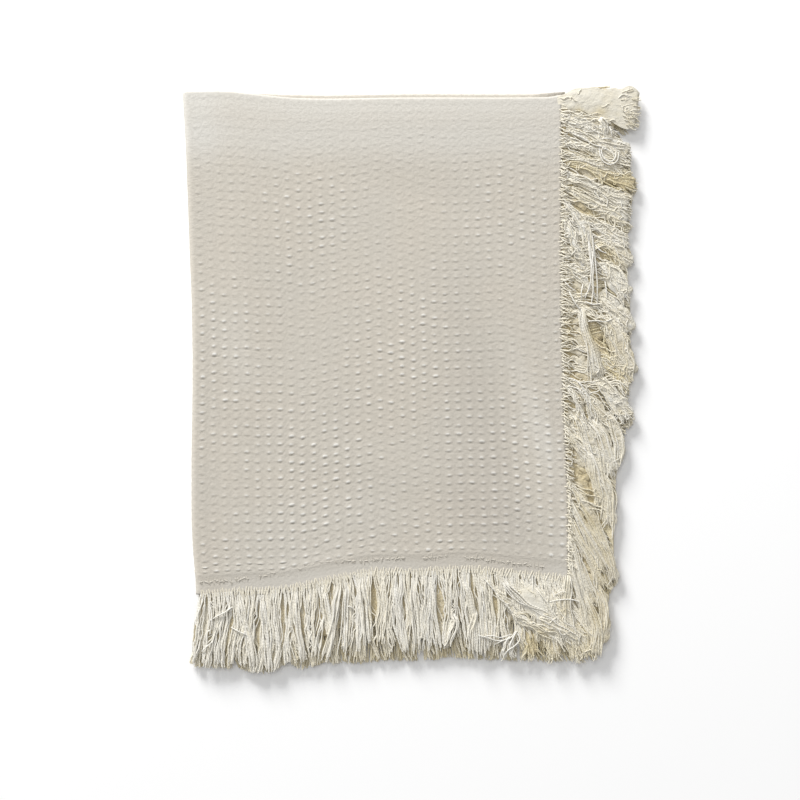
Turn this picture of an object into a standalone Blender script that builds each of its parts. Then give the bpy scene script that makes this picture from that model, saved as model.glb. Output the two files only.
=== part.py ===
"""A woven throw blanket folded in quarters and laid flat, with its cut-yarn fringe.

Metres. +X runs across the folded panel away from its closed side, +Y up the panel
to its closed end, +Z up from the floor. The cloth is one sheet: its coordinates
before folding are s (across, fold at 0) and t (along, fold at 0).
"""

import math
import random

import bmesh
import bpy
from mathutils import Vector

# The folded panel, measured over the outside of its folds.
PANEL_WIDTH = 0.5106
PANEL_LENGTH = 0.6734
PANEL_LEFT = -0.3030
PANEL_TOP = 0.3950

# The cloth and how its four layers stack.
CLOTH_THICKNESS = 0.0026
LAYER_PITCH = 0.0038
BAND_THICKNESS = 0.0017
BAND_WIDTH = 0.0220
BAND_STEP = 0.0030

# The fringe: a narrow root strip along each cut edge, and locks of yarn on it.
ROOT_GAP = 0.0006
ROOT_WIDTH = 0.0024
ROOT_THICKNESS = 0.0017
LOCK_THICKNESS = 0.0016
LOCK_FILL = 0.80
LOCK_TAPER = 0.66
LOCK_STEPS = (0.15, 0.42, 0.72, 1.00)
TIP_PITCH = 0.0023
DRAPE_START = 0.019
DRAPE_REACH = 0.082
SEED = 11

# Grid of the cloth, counted on one half of it.
CELLS_ACROSS = 11
CELLS_ALONG = 15
FOLD_CELLS = 8
LOCKS_A_CELL_ACROSS = 3
LOCKS_A_CELL_ALONG = 2

# Shift of the closed left side, down the panel (metres, metres to the right).
LEFT_SIDE = (
    (0.004, -0.0124),
    (0.073, -0.0083),
    (0.142, -0.0055),
    (0.211, -0.0028),
    (0.280, 0.0000),
    (0.377, 0.0014),
    (0.487, -0.0002),
    (0.584, 0.0004),
    (0.639, 0.0041),
    (0.687, 0.0055),
)

# Shift of the right edge of the uppermost layer, down the panel.
RIGHT_EDGE = (
    (0.020, -0.0028),
    (0.320, -0.0028),
    (0.350, -0.0014),
    (0.418, 0.0000),
    (0.487, 0.0028),
    (0.556, 0.0062),
    (0.680, 0.0068),
)

# Rise of the closed top end, across the panel.
TOP_END = (
    (0.000, 0.0020),
    (0.050, 0.0022),
    (0.091, 0.0000),
    (0.172, -0.0026),
    (0.286, -0.0008),
    (0.485, -0.0006),
    (0.505, 0.0026),
)

# How far the upper pair of layers sits back from the top end, across the panel.
UPPER_SETBACK = (
    (0.000, 0.0000),
    (0.060, 0.0002),
    (0.150, 0.0052),
    (0.470, 0.0056),
    (0.505, 0.0050),
)

# Drop of the bottom edge across the panel, one column a layer from the floor up:
# across, outer under, inner under, inner over, outer over.
BOTTOM_EDGE = (
    (0.000, 0.0166, 0.0166, 0.0166, 0.0166),
    (0.060, 0.0150, 0.0145, 0.0140, 0.0124),
    (0.116, 0.0130, 0.0120, 0.0110, 0.0097),
    (0.178, 0.0110, 0.0080, 0.0040, -0.0028),
    (0.233, 0.0095, 0.0055, -0.0030, -0.0138),
    (0.300, 0.0085, 0.0040, -0.0060, -0.0140),
    (0.360, 0.0080, 0.0035, -0.0070, -0.0179),
    (0.428, 0.0085, 0.0050, -0.0050, -0.0124),
    (0.516, 0.0100, 0.0075, 0.0030, -0.0028),
)

# How far each layer's right edge stands beyond the uppermost one, at the top end
# and at the bottom: from the floor up.
EDGE_STEPS = (
    (0.0060, 0.0105),
    (0.0060, 0.0075),
    (0.0000, 0.0036),
    (0.0000, 0.0000),
)

# Soft hills and troughs of the stack: across, down, spread, added share of height.
LOFT = (
    (0.020, 0.330, 0.060, 0.10),
    (0.250, 0.010, 0.070, 0.08),
    (0.120, 0.160, 0.075, 0.07),
    (0.330, 0.250, 0.090, 0.10),
    (0.470, 0.140, 0.055, -0.03),
    (0.180, 0.430, 0.080, 0.09),
    (0.380, 0.455, 0.060, -0.04),
    (0.300, 0.600, 0.080, 0.08),
    (0.480, 0.560, 0.060, 0.06),
    (0.080, 0.600, 0.060, 0.05),
)

# Locks on the side edge: share of the way down, length, lean below level at the
# root and at the tip in degrees.
SIDE_LOCKS = (
    (0.000, 0.1010, -27.0, -12.0),
    (0.050, 0.1030, -12.0, 24.0),
    (0.120, 0.0970, 2.0, 46.0),
    (0.300, 0.0980, 6.0, 52.0),
    (0.500, 0.0980, 9.0, 57.0),
    (0.620, 0.0990, 12.0, 67.0),
    (0.750, 0.1000, 17.0, 80.0),
    (0.900, 0.1000, 26.0, 79.0),
    (1.000, 0.0990, 36.0, 76.0),
)

# Locks on the end edge: share of the way across, length, lean to the right of
# straight down at the root and at the tip in degrees.
END_LOCKS = (
    (0.000, 0.0990, -5.0, -8.0),
    (0.100, 0.1020, -2.0, -3.0),
    (0.200, 0.1070, 0.0, 0.0),
    (0.350, 0.0980, 1.0, 2.0),
    (0.600, 0.0980, 2.0, 3.0),
    (0.800, 0.0990, 4.0, 8.0),
    (0.900, 0.1010, 9.0, 18.0),
    (1.000, 0.1000, 18.0, 32.0),
)

# How much more each layer's locks lean than the uppermost one's, from the floor up.
LAYER_LEANS = (6.0, 1.0, 4.5, 0.0)

# Colour (linear), roughness and metallic of each substance.
MATERIALS = {
    "cotton_cloth": ((0.640, 0.600, 0.520), 0.92, 0.0),
    "cotton_fringe": ((0.600, 0.550, 0.450), 0.90, 0.0),
}

FIRST_HALF_ARC = math.pi * LAYER_PITCH / 4
SECOND_HALF_ARC = math.pi * LAYER_PITCH / 2
ARC_X = PANEL_LEFT + 1.5 * LAYER_PITCH + CLOTH_THICKNESS / 2
ARC_Y = PANEL_TOP - 0.5 * LAYER_PITCH - CLOTH_THICKNESS / 2
FLAT_ACROSS = PANEL_WIDTH - 1.5 * LAYER_PITCH - CLOTH_THICKNESS / 2
FLAT_ALONG = PANEL_LENGTH - 0.5 * LAYER_PITCH - CLOTH_THICKNESS / 2
HALF_ACROSS = FLAT_ACROSS + SECOND_HALF_ARC
HALF_ALONG = FLAT_ALONG + FIRST_HALF_ARC


def slope(table, row, column):
    """Slope of a column of a table at one of its rows."""
    low = table[max(0, row - 1)]
    high = table[min(len(table) - 1, row + 1)]
    return (high[column] - low[column]) / (high[0] - low[0])


def along(table, at, column=1):
    """Value of a column of a table at a place, on a smooth curve through its rows."""
    if at <= table[0][0]:
        return table[0][column]
    for row in range(len(table) - 1):
        low, high = table[row], table[row + 1]
        if at <= high[0]:
            span = high[0] - low[0]
            u = (at - low[0]) / span
            start = (2 * u**3 - 3 * u**2 + 1) * low[column]
            end = (3 * u**2 - 2 * u**3) * high[column]
            leave = (u**3 - 2 * u**2 + u) * span * slope(table, row, column)
            arrive = (u**3 - u**2) * span * slope(table, row + 1, column)
            return start + end + leave + arrive
    return table[-1][column]


def eased(low, high, at):
    """Smooth step from 0 at low to 1 at high."""
    share = min(1.0, max(0.0, (at - low) / (high - low)))
    return share * share * (3 - 2 * share)


def layer_of(s, t):
    """Number of the layer, counted from the floor up."""
    if s >= 0:
        return 3 if t >= 0 else 2
    return 0 if t >= 0 else 1


def fold(s, t, n):
    """Folds a point of the sheet over its top end, then under at its left side.

    n is the height above the middle of the cloth. Returns across, down, up.
    """
    if abs(t) < FIRST_HALF_ARC:
        turn = t / FIRST_HALF_ARC * math.pi / 2
        down = -(LAYER_PITCH / 2 + n) * math.cos(turn)
        up = (LAYER_PITCH / 2 + n) * math.sin(turn)
    else:
        down = abs(t) - FIRST_HALF_ARC
        up = math.copysign(LAYER_PITCH / 2 + n, t)
    radius = LAYER_PITCH + up
    if abs(s) < SECOND_HALF_ARC:
        turn = s / SECOND_HALF_ARC * math.pi / 2
        return Vector((-radius * math.cos(turn), down, radius * math.sin(turn)))
    return Vector((abs(s) - SECOND_HALF_ARC, down, math.copysign(radius, s)))


def loft(across, down):
    """Height of the stack at a place, as a share of its even height."""
    share = 1.0
    for x, y, spread, lift in LOFT:
        share += lift * math.exp(-((across - x) ** 2 + (down - y) ** 2) / (2 * spread**2))
    return share


def shift(layer, across, down):
    """Shift of a layer in plan: to the right, and down the panel."""
    u = min(1.0, max(0.0, across / FLAT_ACROSS))
    v = min(1.0, max(0.0, down / FLAT_ALONG))
    at_top, at_bottom = EDGE_STEPS[layer]
    left = along(LEFT_SIDE, down)
    right = along(RIGHT_EDGE, down) + at_top + (at_bottom - at_top) * eased(0.02, 0.25, v)
    top = -along(TOP_END, across)
    if layer >= 2:
        top += along(UPPER_SETBACK, across)
    bottom = along(BOTTOM_EDGE, across, 1 + layer)
    return left * (1 - u) + right * u, top * (1 - v) + bottom * v


def place(s, t, n):
    """Point of the finished blanket for a point of the unfolded sheet."""
    middle = fold(s, t, 0.0)
    lift = fold(s, t, n) - middle
    layer = layer_of(s, t)
    right, lower = shift(layer, middle.x, middle.y)
    height = (middle.z + 1.5 * LAYER_PITCH) * loft(middle.x, middle.y)
    x = ARC_X + middle.x + right + lift.x
    y = ARC_Y - (middle.y + lower + lift.y)
    return Vector((x, y, CLOTH_THICKNESS / 2 + height + lift.z))


def drape(layer, x, y):
    """Height of the middle of a layer's fringe above the floor at a place."""
    across = x - ARC_X
    down = ARC_Y - y
    beyond = math.hypot(max(0.0, across - FLAT_ACROSS), max(0.0, down - FLAT_ALONG))
    share = eased(DRAPE_START, DRAPE_REACH, beyond)
    inner = loft(min(across, FLAT_ACROSS), min(down, FLAT_ALONG))
    high = CLOTH_THICKNESS / 2 + layer * LAYER_PITCH * inner
    low = LOCK_THICKNESS / 2 + layer * TIP_PITCH
    if layer == 0:
        share = eased(0.0, DRAPE_START, beyond)
    return high + (low - high) * share


def ladder(cells, start, end):
    """Evenly spaced stations from start up to end, without the last."""
    return [start + (end - start) * i / cells for i in range(cells)]


def mirrored(half, half_arc):
    """Stations of both halves of the sheet, with those of the fold between them."""
    turn = ladder(FOLD_CELLS, -half_arc, half_arc)[1:]
    return [-value for value in reversed(half)] + turn + half


def half_across():
    """Stations of the cloth from the side fold to its edge."""
    return ladder(CELLS_ACROSS, SECOND_HALF_ARC, HALF_ACROSS) + [HALF_ACROSS]


def half_along():
    """Stations of the cloth from the end fold to its edge, with its plain band."""
    plain = HALF_ALONG - BAND_WIDTH
    even = ladder(CELLS_ALONG, FIRST_HALF_ARC, plain - BAND_STEP)
    return even + [plain - BAND_STEP, plain, HALF_ALONG]


def between(knots, value, point):
    """Point at a value, on the straight line between the two knots around it."""
    for low, high in zip(knots, knots[1:]):
        if low - 1e-6 <= value <= high + 1e-6:
            return point(low).lerp(point(high), (value - low) / (high - low))
    return point(value)


def sheet_block(across, along_t, point):
    """Closed block over a grid of the sheet; point(s, t, side) places its corners."""
    mesh = bmesh.new()
    columns, rows = len(across) - 1, len(along_t) - 1
    bmesh.ops.create_grid(mesh, x_segments=columns, y_segments=rows, size=0.5)
    for vert in mesh.verts:
        i = round((vert.co.x + 0.5) * columns)
        j = round((vert.co.y + 0.5) * rows)
        vert.co = (across[i], along_t[j], 0.0)
    grown = bmesh.ops.extrude_face_region(mesh, geom=mesh.faces[:])
    upper = {item for item in grown["geom"] if isinstance(item, bmesh.types.BMVert)}
    marks = {}
    for vert in mesh.verts:
        marks[vert] = (vert.co.x, vert.co.y, 1 if vert in upper else -1)
    for vert, (s, t, side) in marks.items():
        vert.co = point(s, t, side)
    mesh.normal_update()
    return mesh, marks


def cloth_mesh():
    """The whole cloth, folded, thinner in the plain band at its two ends."""
    plain = HALF_ALONG - BAND_WIDTH

    def point(s, t, side):
        share = eased(plain - BAND_STEP, plain, abs(t))
        thickness = CLOTH_THICKNESS + (BAND_THICKNESS - CLOTH_THICKNESS) * share
        return place(s, t, side * thickness / 2)

    across = mirrored(half_across(), SECOND_HALF_ARC)
    down = mirrored(half_along(), FIRST_HALF_ARC)
    return sheet_block(across, down, point)[0]


def lock_path(root, layer, on_side, share, pitch, rng):
    """Middle, sideways vector and width of a lock at each of its steps."""
    table = SIDE_LOCKS if on_side else END_LOCKS
    length = along(table, share, 1) + rng.uniform(-0.005, 0.004)
    first, last = along(table, share, 2), along(table, share, 3)
    wave = math.sin(share * 38.0 + layer * 1.7) + 0.6 * math.sin(share * 71.0 + layer)
    first += LAYER_LEANS[layer] * 0.5
    last += LAYER_LEANS[layer] + wave * (2.0 if on_side else 2.6)
    point = root.copy()
    done = 0.0
    rows = []
    for step in LOCK_STEPS:
        lean = math.radians(first + (last - first) * ((done + step) / 2) ** 0.8)
        if on_side:
            ahead = Vector((math.cos(lean), -math.sin(lean)))
            sideways = Vector((math.sin(lean), math.cos(lean)))
        else:
            ahead = Vector((math.sin(lean), -math.cos(lean)))
            sideways = Vector((math.cos(lean), math.sin(lean)))
        point = point + ahead * (length * (step - done))
        width = pitch * LOCK_FILL * math.cos(lean) * (1.0 - LOCK_TAPER * step**1.8)
        rows.append((point, sideways, width))
        done = step
    return rows


def root_stations(half, count, half_arc):
    """Stations along one cut edge, so many locks between two stations of the cloth."""
    fine = []
    for low, high in zip(half, half[1:]):
        share = max(1, round(count * (high - low) / (half[1] - half[0])))
        fine += ladder(share, low, high)
    return mirrored(fine + [half[-1]], half_arc)


def fringe_mesh(on_side, sign, rng):
    """A root strip along one cut edge of the cloth, with a lock on every outer face."""
    if on_side:
        knots, arc, edge = half_along(), FIRST_HALF_ARC, HALF_ACROSS
        stations = root_stations(knots, LOCKS_A_CELL_ALONG, arc)
    else:
        knots, arc, edge = half_across(), SECOND_HALF_ARC, HALF_ALONG
        stations = root_stations(knots, LOCKS_A_CELL_ACROSS, arc)
    reach = knots[-1]
    knots = mirrored(knots, arc)
    outer = sign * (edge + ROOT_GAP + ROOT_WIDTH)
    narrow = sorted((sign * (edge + ROOT_GAP), outer))

    def point(s, t, side):
        n = side * ROOT_THICKNESS / 2
        if on_side:
            return between(knots, t, lambda value: place(s, value, n))
        return between(knots, s, lambda value: place(value, t, n))

    across, down = (narrow, stations) if on_side else (stations, narrow)
    mesh, marks = sheet_block(across, down, point)
    axis = 0 if on_side else 1
    roots = []
    for face in mesh.faces:
        if all(abs(marks[vert][axis] - outer) < 1e-6 for vert in face.verts):
            spots = [marks[vert][1 - axis] for vert in face.verts]
            wide = max(spots) - min(spots)
            if min(abs(spot) for spot in spots) > arc - 1e-6 and wide > 2 * BAND_STEP:
                roots.append((sum(spots) / 4, wide, face))
    roots.sort(key=lambda item: item[0])
    for middle, wide, face in roots:
        layer = layer_of(outer, middle) if on_side else layer_of(middle, outer)
        root = face.calc_center_median()
        share = (abs(middle) - arc) / (reach - arc)
        path = lock_path(root.xy, layer, on_side, share, wide, rng)
        corners = []
        for loop in face.loops:
            spot = loop.vert.co - root
            across_lock = math.copysign(1, spot.y if on_side else spot.x)
            corners.append((across_lock, math.copysign(1, spot.z)))
        for spot, sideways, width in path:
            grown = bmesh.ops.extrude_discrete_faces(mesh, faces=[face])
            face = grown["faces"][0]
            for loop, (across_lock, upward) in zip(face.loops, corners):
                x, y = spot + sideways * (across_lock * width / 2)
                loop.vert.co = (x, y, drape(layer, x, y) + upward * LOCK_THICKNESS / 2)
    mesh.normal_update()
    return mesh


def material(name):
    """Principled material of one substance."""
    colour, roughness, metallic = MATERIALS[name]
    made = bpy.data.materials.new(name)
    made.use_nodes = True
    shader = made.node_tree.nodes["Principled BSDF"]
    shader.inputs["Base Color"].default_value = (*colour, 1.0)
    shader.inputs["Roughness"].default_value = roughness
    shader.inputs["Metallic"].default_value = metallic
    made.diffuse_color = (*colour, 1.0)
    return made


def add_object(mesh, name, substance, group):
    """Turns a bmesh into a named object of the blanket."""
    bmesh.ops.recalc_face_normals(mesh, faces=mesh.faces[:])
    data = bpy.data.meshes.new(name)
    mesh.to_mesh(data)
    mesh.free()
    data.materials.append(substance)
    made = bpy.data.objects.new(name, data)
    group.objects.link(made)
    return made


def main():
    for item in list(bpy.data.objects):
        bpy.data.objects.remove(item, do_unlink=True)
    rng = random.Random(SEED)
    group = bpy.data.collections.new("throw_blanket")
    bpy.context.scene.collection.children.link(group)
    cloth = material("cotton_cloth")
    yarn = material("cotton_fringe")
    add_object(cloth_mesh(), "cloth", cloth, group)
    add_object(fringe_mesh(True, 1, rng), "fringe_side_upper", yarn, group)
    add_object(fringe_mesh(True, -1, rng), "fringe_side_lower", yarn, group)
    add_object(fringe_mesh(False, 1, rng), "fringe_end_outer", yarn, group)
    add_object(fringe_mesh(False, -1, rng), "fringe_end_inner", yarn, group)


main()
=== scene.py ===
"""Looks of a woven throw blanket, folded in quarters, with a cut-yarn fringe.

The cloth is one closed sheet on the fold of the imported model. The fringe is yarn by
yarn: locks are laid out in plan, sorted into heights, and made into tubes by
Geometry Nodes. Metres, +X right, +Y up the panel, +Z up from the floor.
"""

import math
from typing import NamedTuple

import bmesh
import bpy
import numpy as np
from bpy.props import FloatProperty, FloatVectorProperty, IntProperty, PointerProperty
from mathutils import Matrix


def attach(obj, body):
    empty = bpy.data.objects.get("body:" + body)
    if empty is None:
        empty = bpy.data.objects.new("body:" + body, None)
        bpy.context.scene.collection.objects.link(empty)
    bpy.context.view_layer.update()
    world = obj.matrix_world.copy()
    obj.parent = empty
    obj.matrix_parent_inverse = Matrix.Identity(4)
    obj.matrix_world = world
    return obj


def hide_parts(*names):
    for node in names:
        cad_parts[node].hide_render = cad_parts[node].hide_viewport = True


bl_info = {
    "name": "Folded Throw Blanket",
    "version": (1, 0, 0),
    "blender": (4, 5, 0),
    "location": "3D View > Sidebar > Blanket",
    "description": "A woven throw folded in quarters, with its hem and yarn fringe",
    "category": "Add Mesh",
}

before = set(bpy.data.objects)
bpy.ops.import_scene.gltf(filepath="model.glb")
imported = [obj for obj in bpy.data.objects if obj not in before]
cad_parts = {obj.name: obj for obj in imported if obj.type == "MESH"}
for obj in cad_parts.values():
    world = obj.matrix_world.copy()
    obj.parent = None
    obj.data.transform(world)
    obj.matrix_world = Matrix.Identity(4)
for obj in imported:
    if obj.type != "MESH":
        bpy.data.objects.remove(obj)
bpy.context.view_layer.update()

# The fold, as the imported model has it.
PANEL_WIDTH = 0.5106
PANEL_LENGTH = 0.6734
PANEL_LEFT = -0.3030
PANEL_TOP = 0.3950
CLOTH_THICKNESS = 0.0026
LAYER_PITCH = 0.0038
BAND_THICKNESS = 0.0017
BAND_WIDTH = 0.0220
BAND_STEP = 0.0030
TIP_LOW = 0.0010
TIP_PITCH = 0.0034
BOTTOM_RISE = 0.0026
DRAPE_START = 0.019
DRAPE_REACH = 0.082

# Pitches of the threads, of the painted floats where none stand up, and of the twist.
WEFT_PITCH = 0.00115
WARP_PITCH = 0.00125
PLAIN_COLUMN = 0.01539
PLAIN_ROW = 0.01173
TWIST = 0.0042

FIRST_HALF_ARC = math.pi * LAYER_PITCH / 4
SECOND_HALF_ARC = math.pi * LAYER_PITCH / 2
ARC_X = PANEL_LEFT + 1.5 * LAYER_PITCH + CLOTH_THICKNESS / 2
ARC_Y = PANEL_TOP - 0.5 * LAYER_PITCH - CLOTH_THICKNESS / 2
FLAT_ACROSS = PANEL_WIDTH - 1.5 * LAYER_PITCH - CLOTH_THICKNESS / 2
FLAT_ALONG = PANEL_LENGTH - 0.5 * LAYER_PITCH - CLOTH_THICKNESS / 2
HALF_ACROSS = FLAT_ACROSS + SECOND_HALF_ARC
HALF_ALONG = FLAT_ALONG + FIRST_HALF_ARC

# The plan that the tables of the fringe are drawn on: one unit in metres, and the
# unit that stands at the middle of the floor.
PLAN_UNIT = 0.00138
PLAN_X = 412.0
PLAN_Y = 380.0

PLAIN_FROM = HALF_ALONG - BAND_WIDTH
FLOATS_TO = HALF_ALONG - BAND_WIDTH - BAND_STEP
TOP = 3  # number of the uppermost layer

# Shift of the closed left side, down the panel (metres, metres to the right).
LEFT_SIDE = (
    (0.004, -0.0124), (0.073, -0.0083), (0.142, -0.0055), (0.211, -0.0028), (0.280, 0.0000),
    (0.377, 0.0014), (0.487, -0.0002), (0.584, 0.0004), (0.639, 0.0041), (0.687, 0.0055),
)

# Shift of the right edge of the uppermost layer, down the panel.
RIGHT_EDGE = (
    (0.020, -0.0028), (0.320, -0.0028), (0.350, -0.0014), (0.418, 0.0000), (0.487, 0.0028),
    (0.556, 0.0062), (0.680, 0.0068),
)

# Rise of the closed top end, across the panel.
TOP_END = (
    (0.000, 0.0020), (0.050, 0.0022), (0.091, 0.0000), (0.172, -0.0026), (0.286, -0.0008),
    (0.485, -0.0006), (0.505, 0.0026),
)

# How far the upper pair of layers sits back from the top end, across the panel.
UPPER_SETBACK = (
    (0.000, 0.0000), (0.060, 0.0002), (0.150, 0.0052), (0.470, 0.0056), (0.505, 0.0050),
)

# Drop of the bottom edge across the panel, one column a layer from the floor up.
BOTTOM_EDGE = (
    (0.000, 0.0166, 0.0166, 0.0166, 0.0166), (0.060, 0.0150, 0.0145, 0.0140, 0.0124),
    (0.116, 0.0130, 0.0120, 0.0110, 0.0097), (0.178, 0.0110, 0.0080, 0.0040, -0.0028),
    (0.233, 0.0095, 0.0055, -0.0030, -0.0138), (0.300, 0.0085, 0.0040, -0.0060, -0.0140),
    (0.360, 0.0080, 0.0035, -0.0070, -0.0179), (0.428, 0.0085, 0.0050, -0.0050, -0.0124),
    (0.516, 0.0100, 0.0075, 0.0030, -0.0028),
)

# How far each layer's right edge stands beyond the uppermost one's, at the top end
# and at the bottom, from the floor up.
EDGE_STEPS = ((0.0060, 0.0105), (0.0060, 0.0075), (0.0000, 0.0036), (0.0000, 0.0000))

# Soft hills and troughs of the stack: across, down, spread, added share of height.
LOFT = (
    (0.020, 0.330, 0.060, 0.10), (0.250, 0.010, 0.070, 0.08), (0.120, 0.160, 0.075, 0.07),
    (0.330, 0.250, 0.090, 0.10), (0.470, 0.140, 0.055, -0.03), (0.180, 0.430, 0.080, 0.09),
    (0.380, 0.455, 0.060, -0.04), (0.300, 0.600, 0.080, 0.08), (0.480, 0.560, 0.060, 0.06),
    (0.080, 0.600, 0.060, 0.05),
)

# Creases of the upper layers: across, down, half length, half width, turn in
# degrees from straight across, rise.
CREASES = (
    (0.250, -0.004, 0.600, 0.022, 0, -0.0016), (0.406, 0.323, 0.090, 0.030, 76, -0.0012),
    (0.424, 0.410, 0.080, 0.032, 78, -0.0015), (0.447, 0.500, 0.090, 0.034, 84, -0.0017),
    (0.478, 0.455, 0.100, 0.022, 82, 0.0010), (0.330, 0.380, 0.140, 0.050, 70, 0.0010),
    (0.160, 0.240, 0.120, 0.045, 100, -0.0006), (0.065, 0.300, 0.220, 0.030, 92, 0.0007),
    (0.300, 0.130, 0.150, 0.030, 20, -0.0006), (0.240, 0.520, 0.150, 0.030, 14, 0.0007),
    (0.090, 0.480, 0.090, 0.028, 30, -0.0006), (0.250, 0.648, 0.500, 0.012, 0, 0.0005),
)

# Painted light and shade of the upper cloth, for its lit top fold and its broad slopes:
# across, down, half length, half width, turn in degrees from straight across, and how
# much painted light (or painted shade, below nought).
PAINTED_LIGHT = (
    (0.250, 0.000, 0.900, 0.026, 0, 0.42), (0.250, 0.054, 0.900, 0.038, 0, 0.42),
    (0.012, 0.050, 0.080, 0.030, 90, 0.20), (0.008, 0.530, 0.160, 0.022, 90, -0.20),
    (0.140, 0.590, 0.120, 0.055, 0, 0.20), (0.060, 0.330, 0.070, 0.030, 90, 0.16),
    (0.445, 0.460, 0.090, 0.020, 80, 0.18), (0.397, 0.310, 0.100, 0.022, 80, 0.14),
    (0.349, 0.555, 0.060, 0.030, 80, -0.12), (0.420, 0.600, 0.060, 0.030, 0, -0.10),
    (0.165, 0.165, 0.050, 0.030, 80, -0.12), (0.355, 0.290, 0.060, 0.025, 70, -0.14),
    (0.375, 0.400, 0.100, 0.045, 76, -0.22), (0.400, 0.560, 0.120, 0.075, 90, -0.34),
    (0.440, 0.240, 0.075, 0.022, 66, 0.14), (0.452, 0.400, 0.090, 0.020, 72, 0.18),
    (0.478, 0.495, 0.070, 0.022, 78, 0.34), (0.490, 0.620, 0.050, 0.022, 90, 0.26),
    (0.060, 0.370, 0.060, 0.030, 60, 0.12), (0.020, 0.620, 0.090, 0.014, 90, -0.16),
    (0.150, 0.640, 0.060, 0.022, 0, 0.16), (0.230, 0.560, 0.090, 0.040, 20, 0.08),
    (0.495, 0.280, 0.120, 0.010, 90, -0.14), (0.220, 0.430, 0.160, 0.050, 60, -0.05),
    (0.250, 0.664, 0.900, 0.013, 0, 0.32),
)

# Right-hand reach of the fringe, down the plan.
RIGHT_REACH = (
    (84, 622), (87, 628), (93, 637), (100, 641), (128, 640), (133, 634), (138, 620),
    (142, 622), (146, 629), (155, 632), (170, 631), (177, 633), (184, 638), (192, 639),
    (198, 633), (215, 632), (222, 630), (228, 633), (235, 628), (245, 629), (255, 632),
    (265, 632), (272, 627), (280, 628), (300, 630), (335, 631), (360, 634), (380, 635),
    (386, 628), (395, 630), (405, 633), (425, 634), (430, 627), (450, 624), (460, 622),
    (470, 617), (490, 616), (500, 618), (520, 616), (540, 612), (560, 614), (575, 617),
    (585, 617), (590, 612), (600, 609), (620, 607), (640, 603), (650, 600), (660, 590),
)

CORNER_FROM = 655  # below this place of the plan the bottom's reach alone counts

# Reach of the fringe at the top right, across the plan.
TOP_REACH = (
    (540, 99), (552, 96), (560, 94), (570, 91), (584, 88), (606, 87), (620, 86),
    (630, 88), (636, 95), (642, 102),
)

# Reach of the fringe at the bottom, across the plan.
BOTTOM_REACH = (
    (184, 640), (187, 652), (190, 664), (200, 668), (215, 668), (240, 669), (255, 673),
    (268, 675), (276, 670), (284, 665), (290, 662), (295, 667), (303, 670), (310, 668),
    (318, 665), (325, 663), (335, 664), (345, 664), (360, 664), (375, 662), (390, 661),
    (420, 661), (435, 660), (450, 658), (480, 660), (515, 661), (530, 661), (545, 663),
    (560, 662), (575, 665), (585, 667), (591, 661), (600, 656), (606, 640),
)

# How the yarns leave an edge: share along the edge, length, and the way they head
# at the root and at the tip, in degrees below level. Last the tip's of lower layers.
SIDE_FLOW = (
    (0.000, 0.101, -20, 2, 0), (0.050, 0.103, -8, 26, 10), (0.120, 0.099, 2, 46, 18),
    (0.300, 0.100, 4, 64, 24), (0.500, 0.100, 6, 74, 30), (0.620, 0.101, 14, 84, 44),
    (0.750, 0.102, 24, 92, 56), (0.900, 0.102, 36, 90, 66), (1.000, 0.101, 46, 84, 70),
)
LASH_FLOW = (
    (0.000, 0.014, 10), (0.300, 0.013, 8), (0.380, 0.020, 6), (0.480, 0.021, 8),
    (0.560, 0.014, 20), (0.700, 0.013, 38), (0.900, 0.013, 52), (1.000, 0.012, 56),
)
END_FLOW = (
    (0.000, 0.099, 95, 99), (0.100, 0.102, 92, 93), (0.200, 0.106, 90, 90),
    (0.350, 0.099, 89, 88), (0.600, 0.098, 88, 87), (0.800, 0.099, 86, 82),
    (0.900, 0.101, 81, 72), (1.000, 0.100, 72, 58),
)

# Turn of each layer's yarns against the uppermost one's, from the floor up.
LAYER_TURNS = (7.0, -3.0, 5.0, 0.0)

# Gaps in the uppermost yarns: plan x, y, half length, half width, heading.
END_GAPS = (
    (213, 603, 9, 1.6, 88), (228, 607, 9, 1.5, 80), (211, 633, 12, 2.6, 96),
    (219, 634, 8, 1.4, 84), (227, 653, 10, 1.5, 92), (256, 616, 10, 1.9, 84),
    (264, 630, 10, 1.8, 84), (258, 642, 12, 2.0, 96), (288, 612, 9, 1.2, 90),
    (291, 633, 8, 1.5, 92), (311, 628, 7, 1.8, 90), (311, 645, 9, 1.9, 90),
    (326, 641, 7, 2.6, 80), (322, 615, 9, 1.5, 92), (329, 597, 11, 1.3, 88),
    (355, 612, 10, 1.6, 88), (355, 627, 7, 1.7, 90), (374, 604, 19, 3.0, 90),
    (375, 631, 9, 2.1, 90), (348, 651, 8, 2.4, 88), (298, 648, 9, 1.5, 88),
    (403, 596, 9, 1.0, 90), (423, 596, 9, 1.3, 90), (441, 616, 8, 1.4, 90),
    (453, 607, 12, 1.9, 84), (455, 632, 10, 1.6, 92), (459, 583, 8, 1.6, 80),
    (472, 589, 10, 1.6, 86), (473, 613, 10, 2.0, 86), (472, 629, 8, 1.7, 92),
    (431, 653, 6, 2.6, 90), (495, 600, 10, 2.4, 78), (495, 610, 6, 1.6, 84),
    (506, 611, 8, 1.6, 76), (511, 627, 9, 2.0, 96), (526, 634, 8, 1.8, 92),
    (340, 590, 9, 1.0, 92), (390, 640, 9, 1.3, 90), (410, 645, 8, 1.4, 90),
    (243, 612, 9, 1.0, 88), (275, 600, 9, 0.9, 92), (303, 600, 9, 1.0, 88),
)
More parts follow.
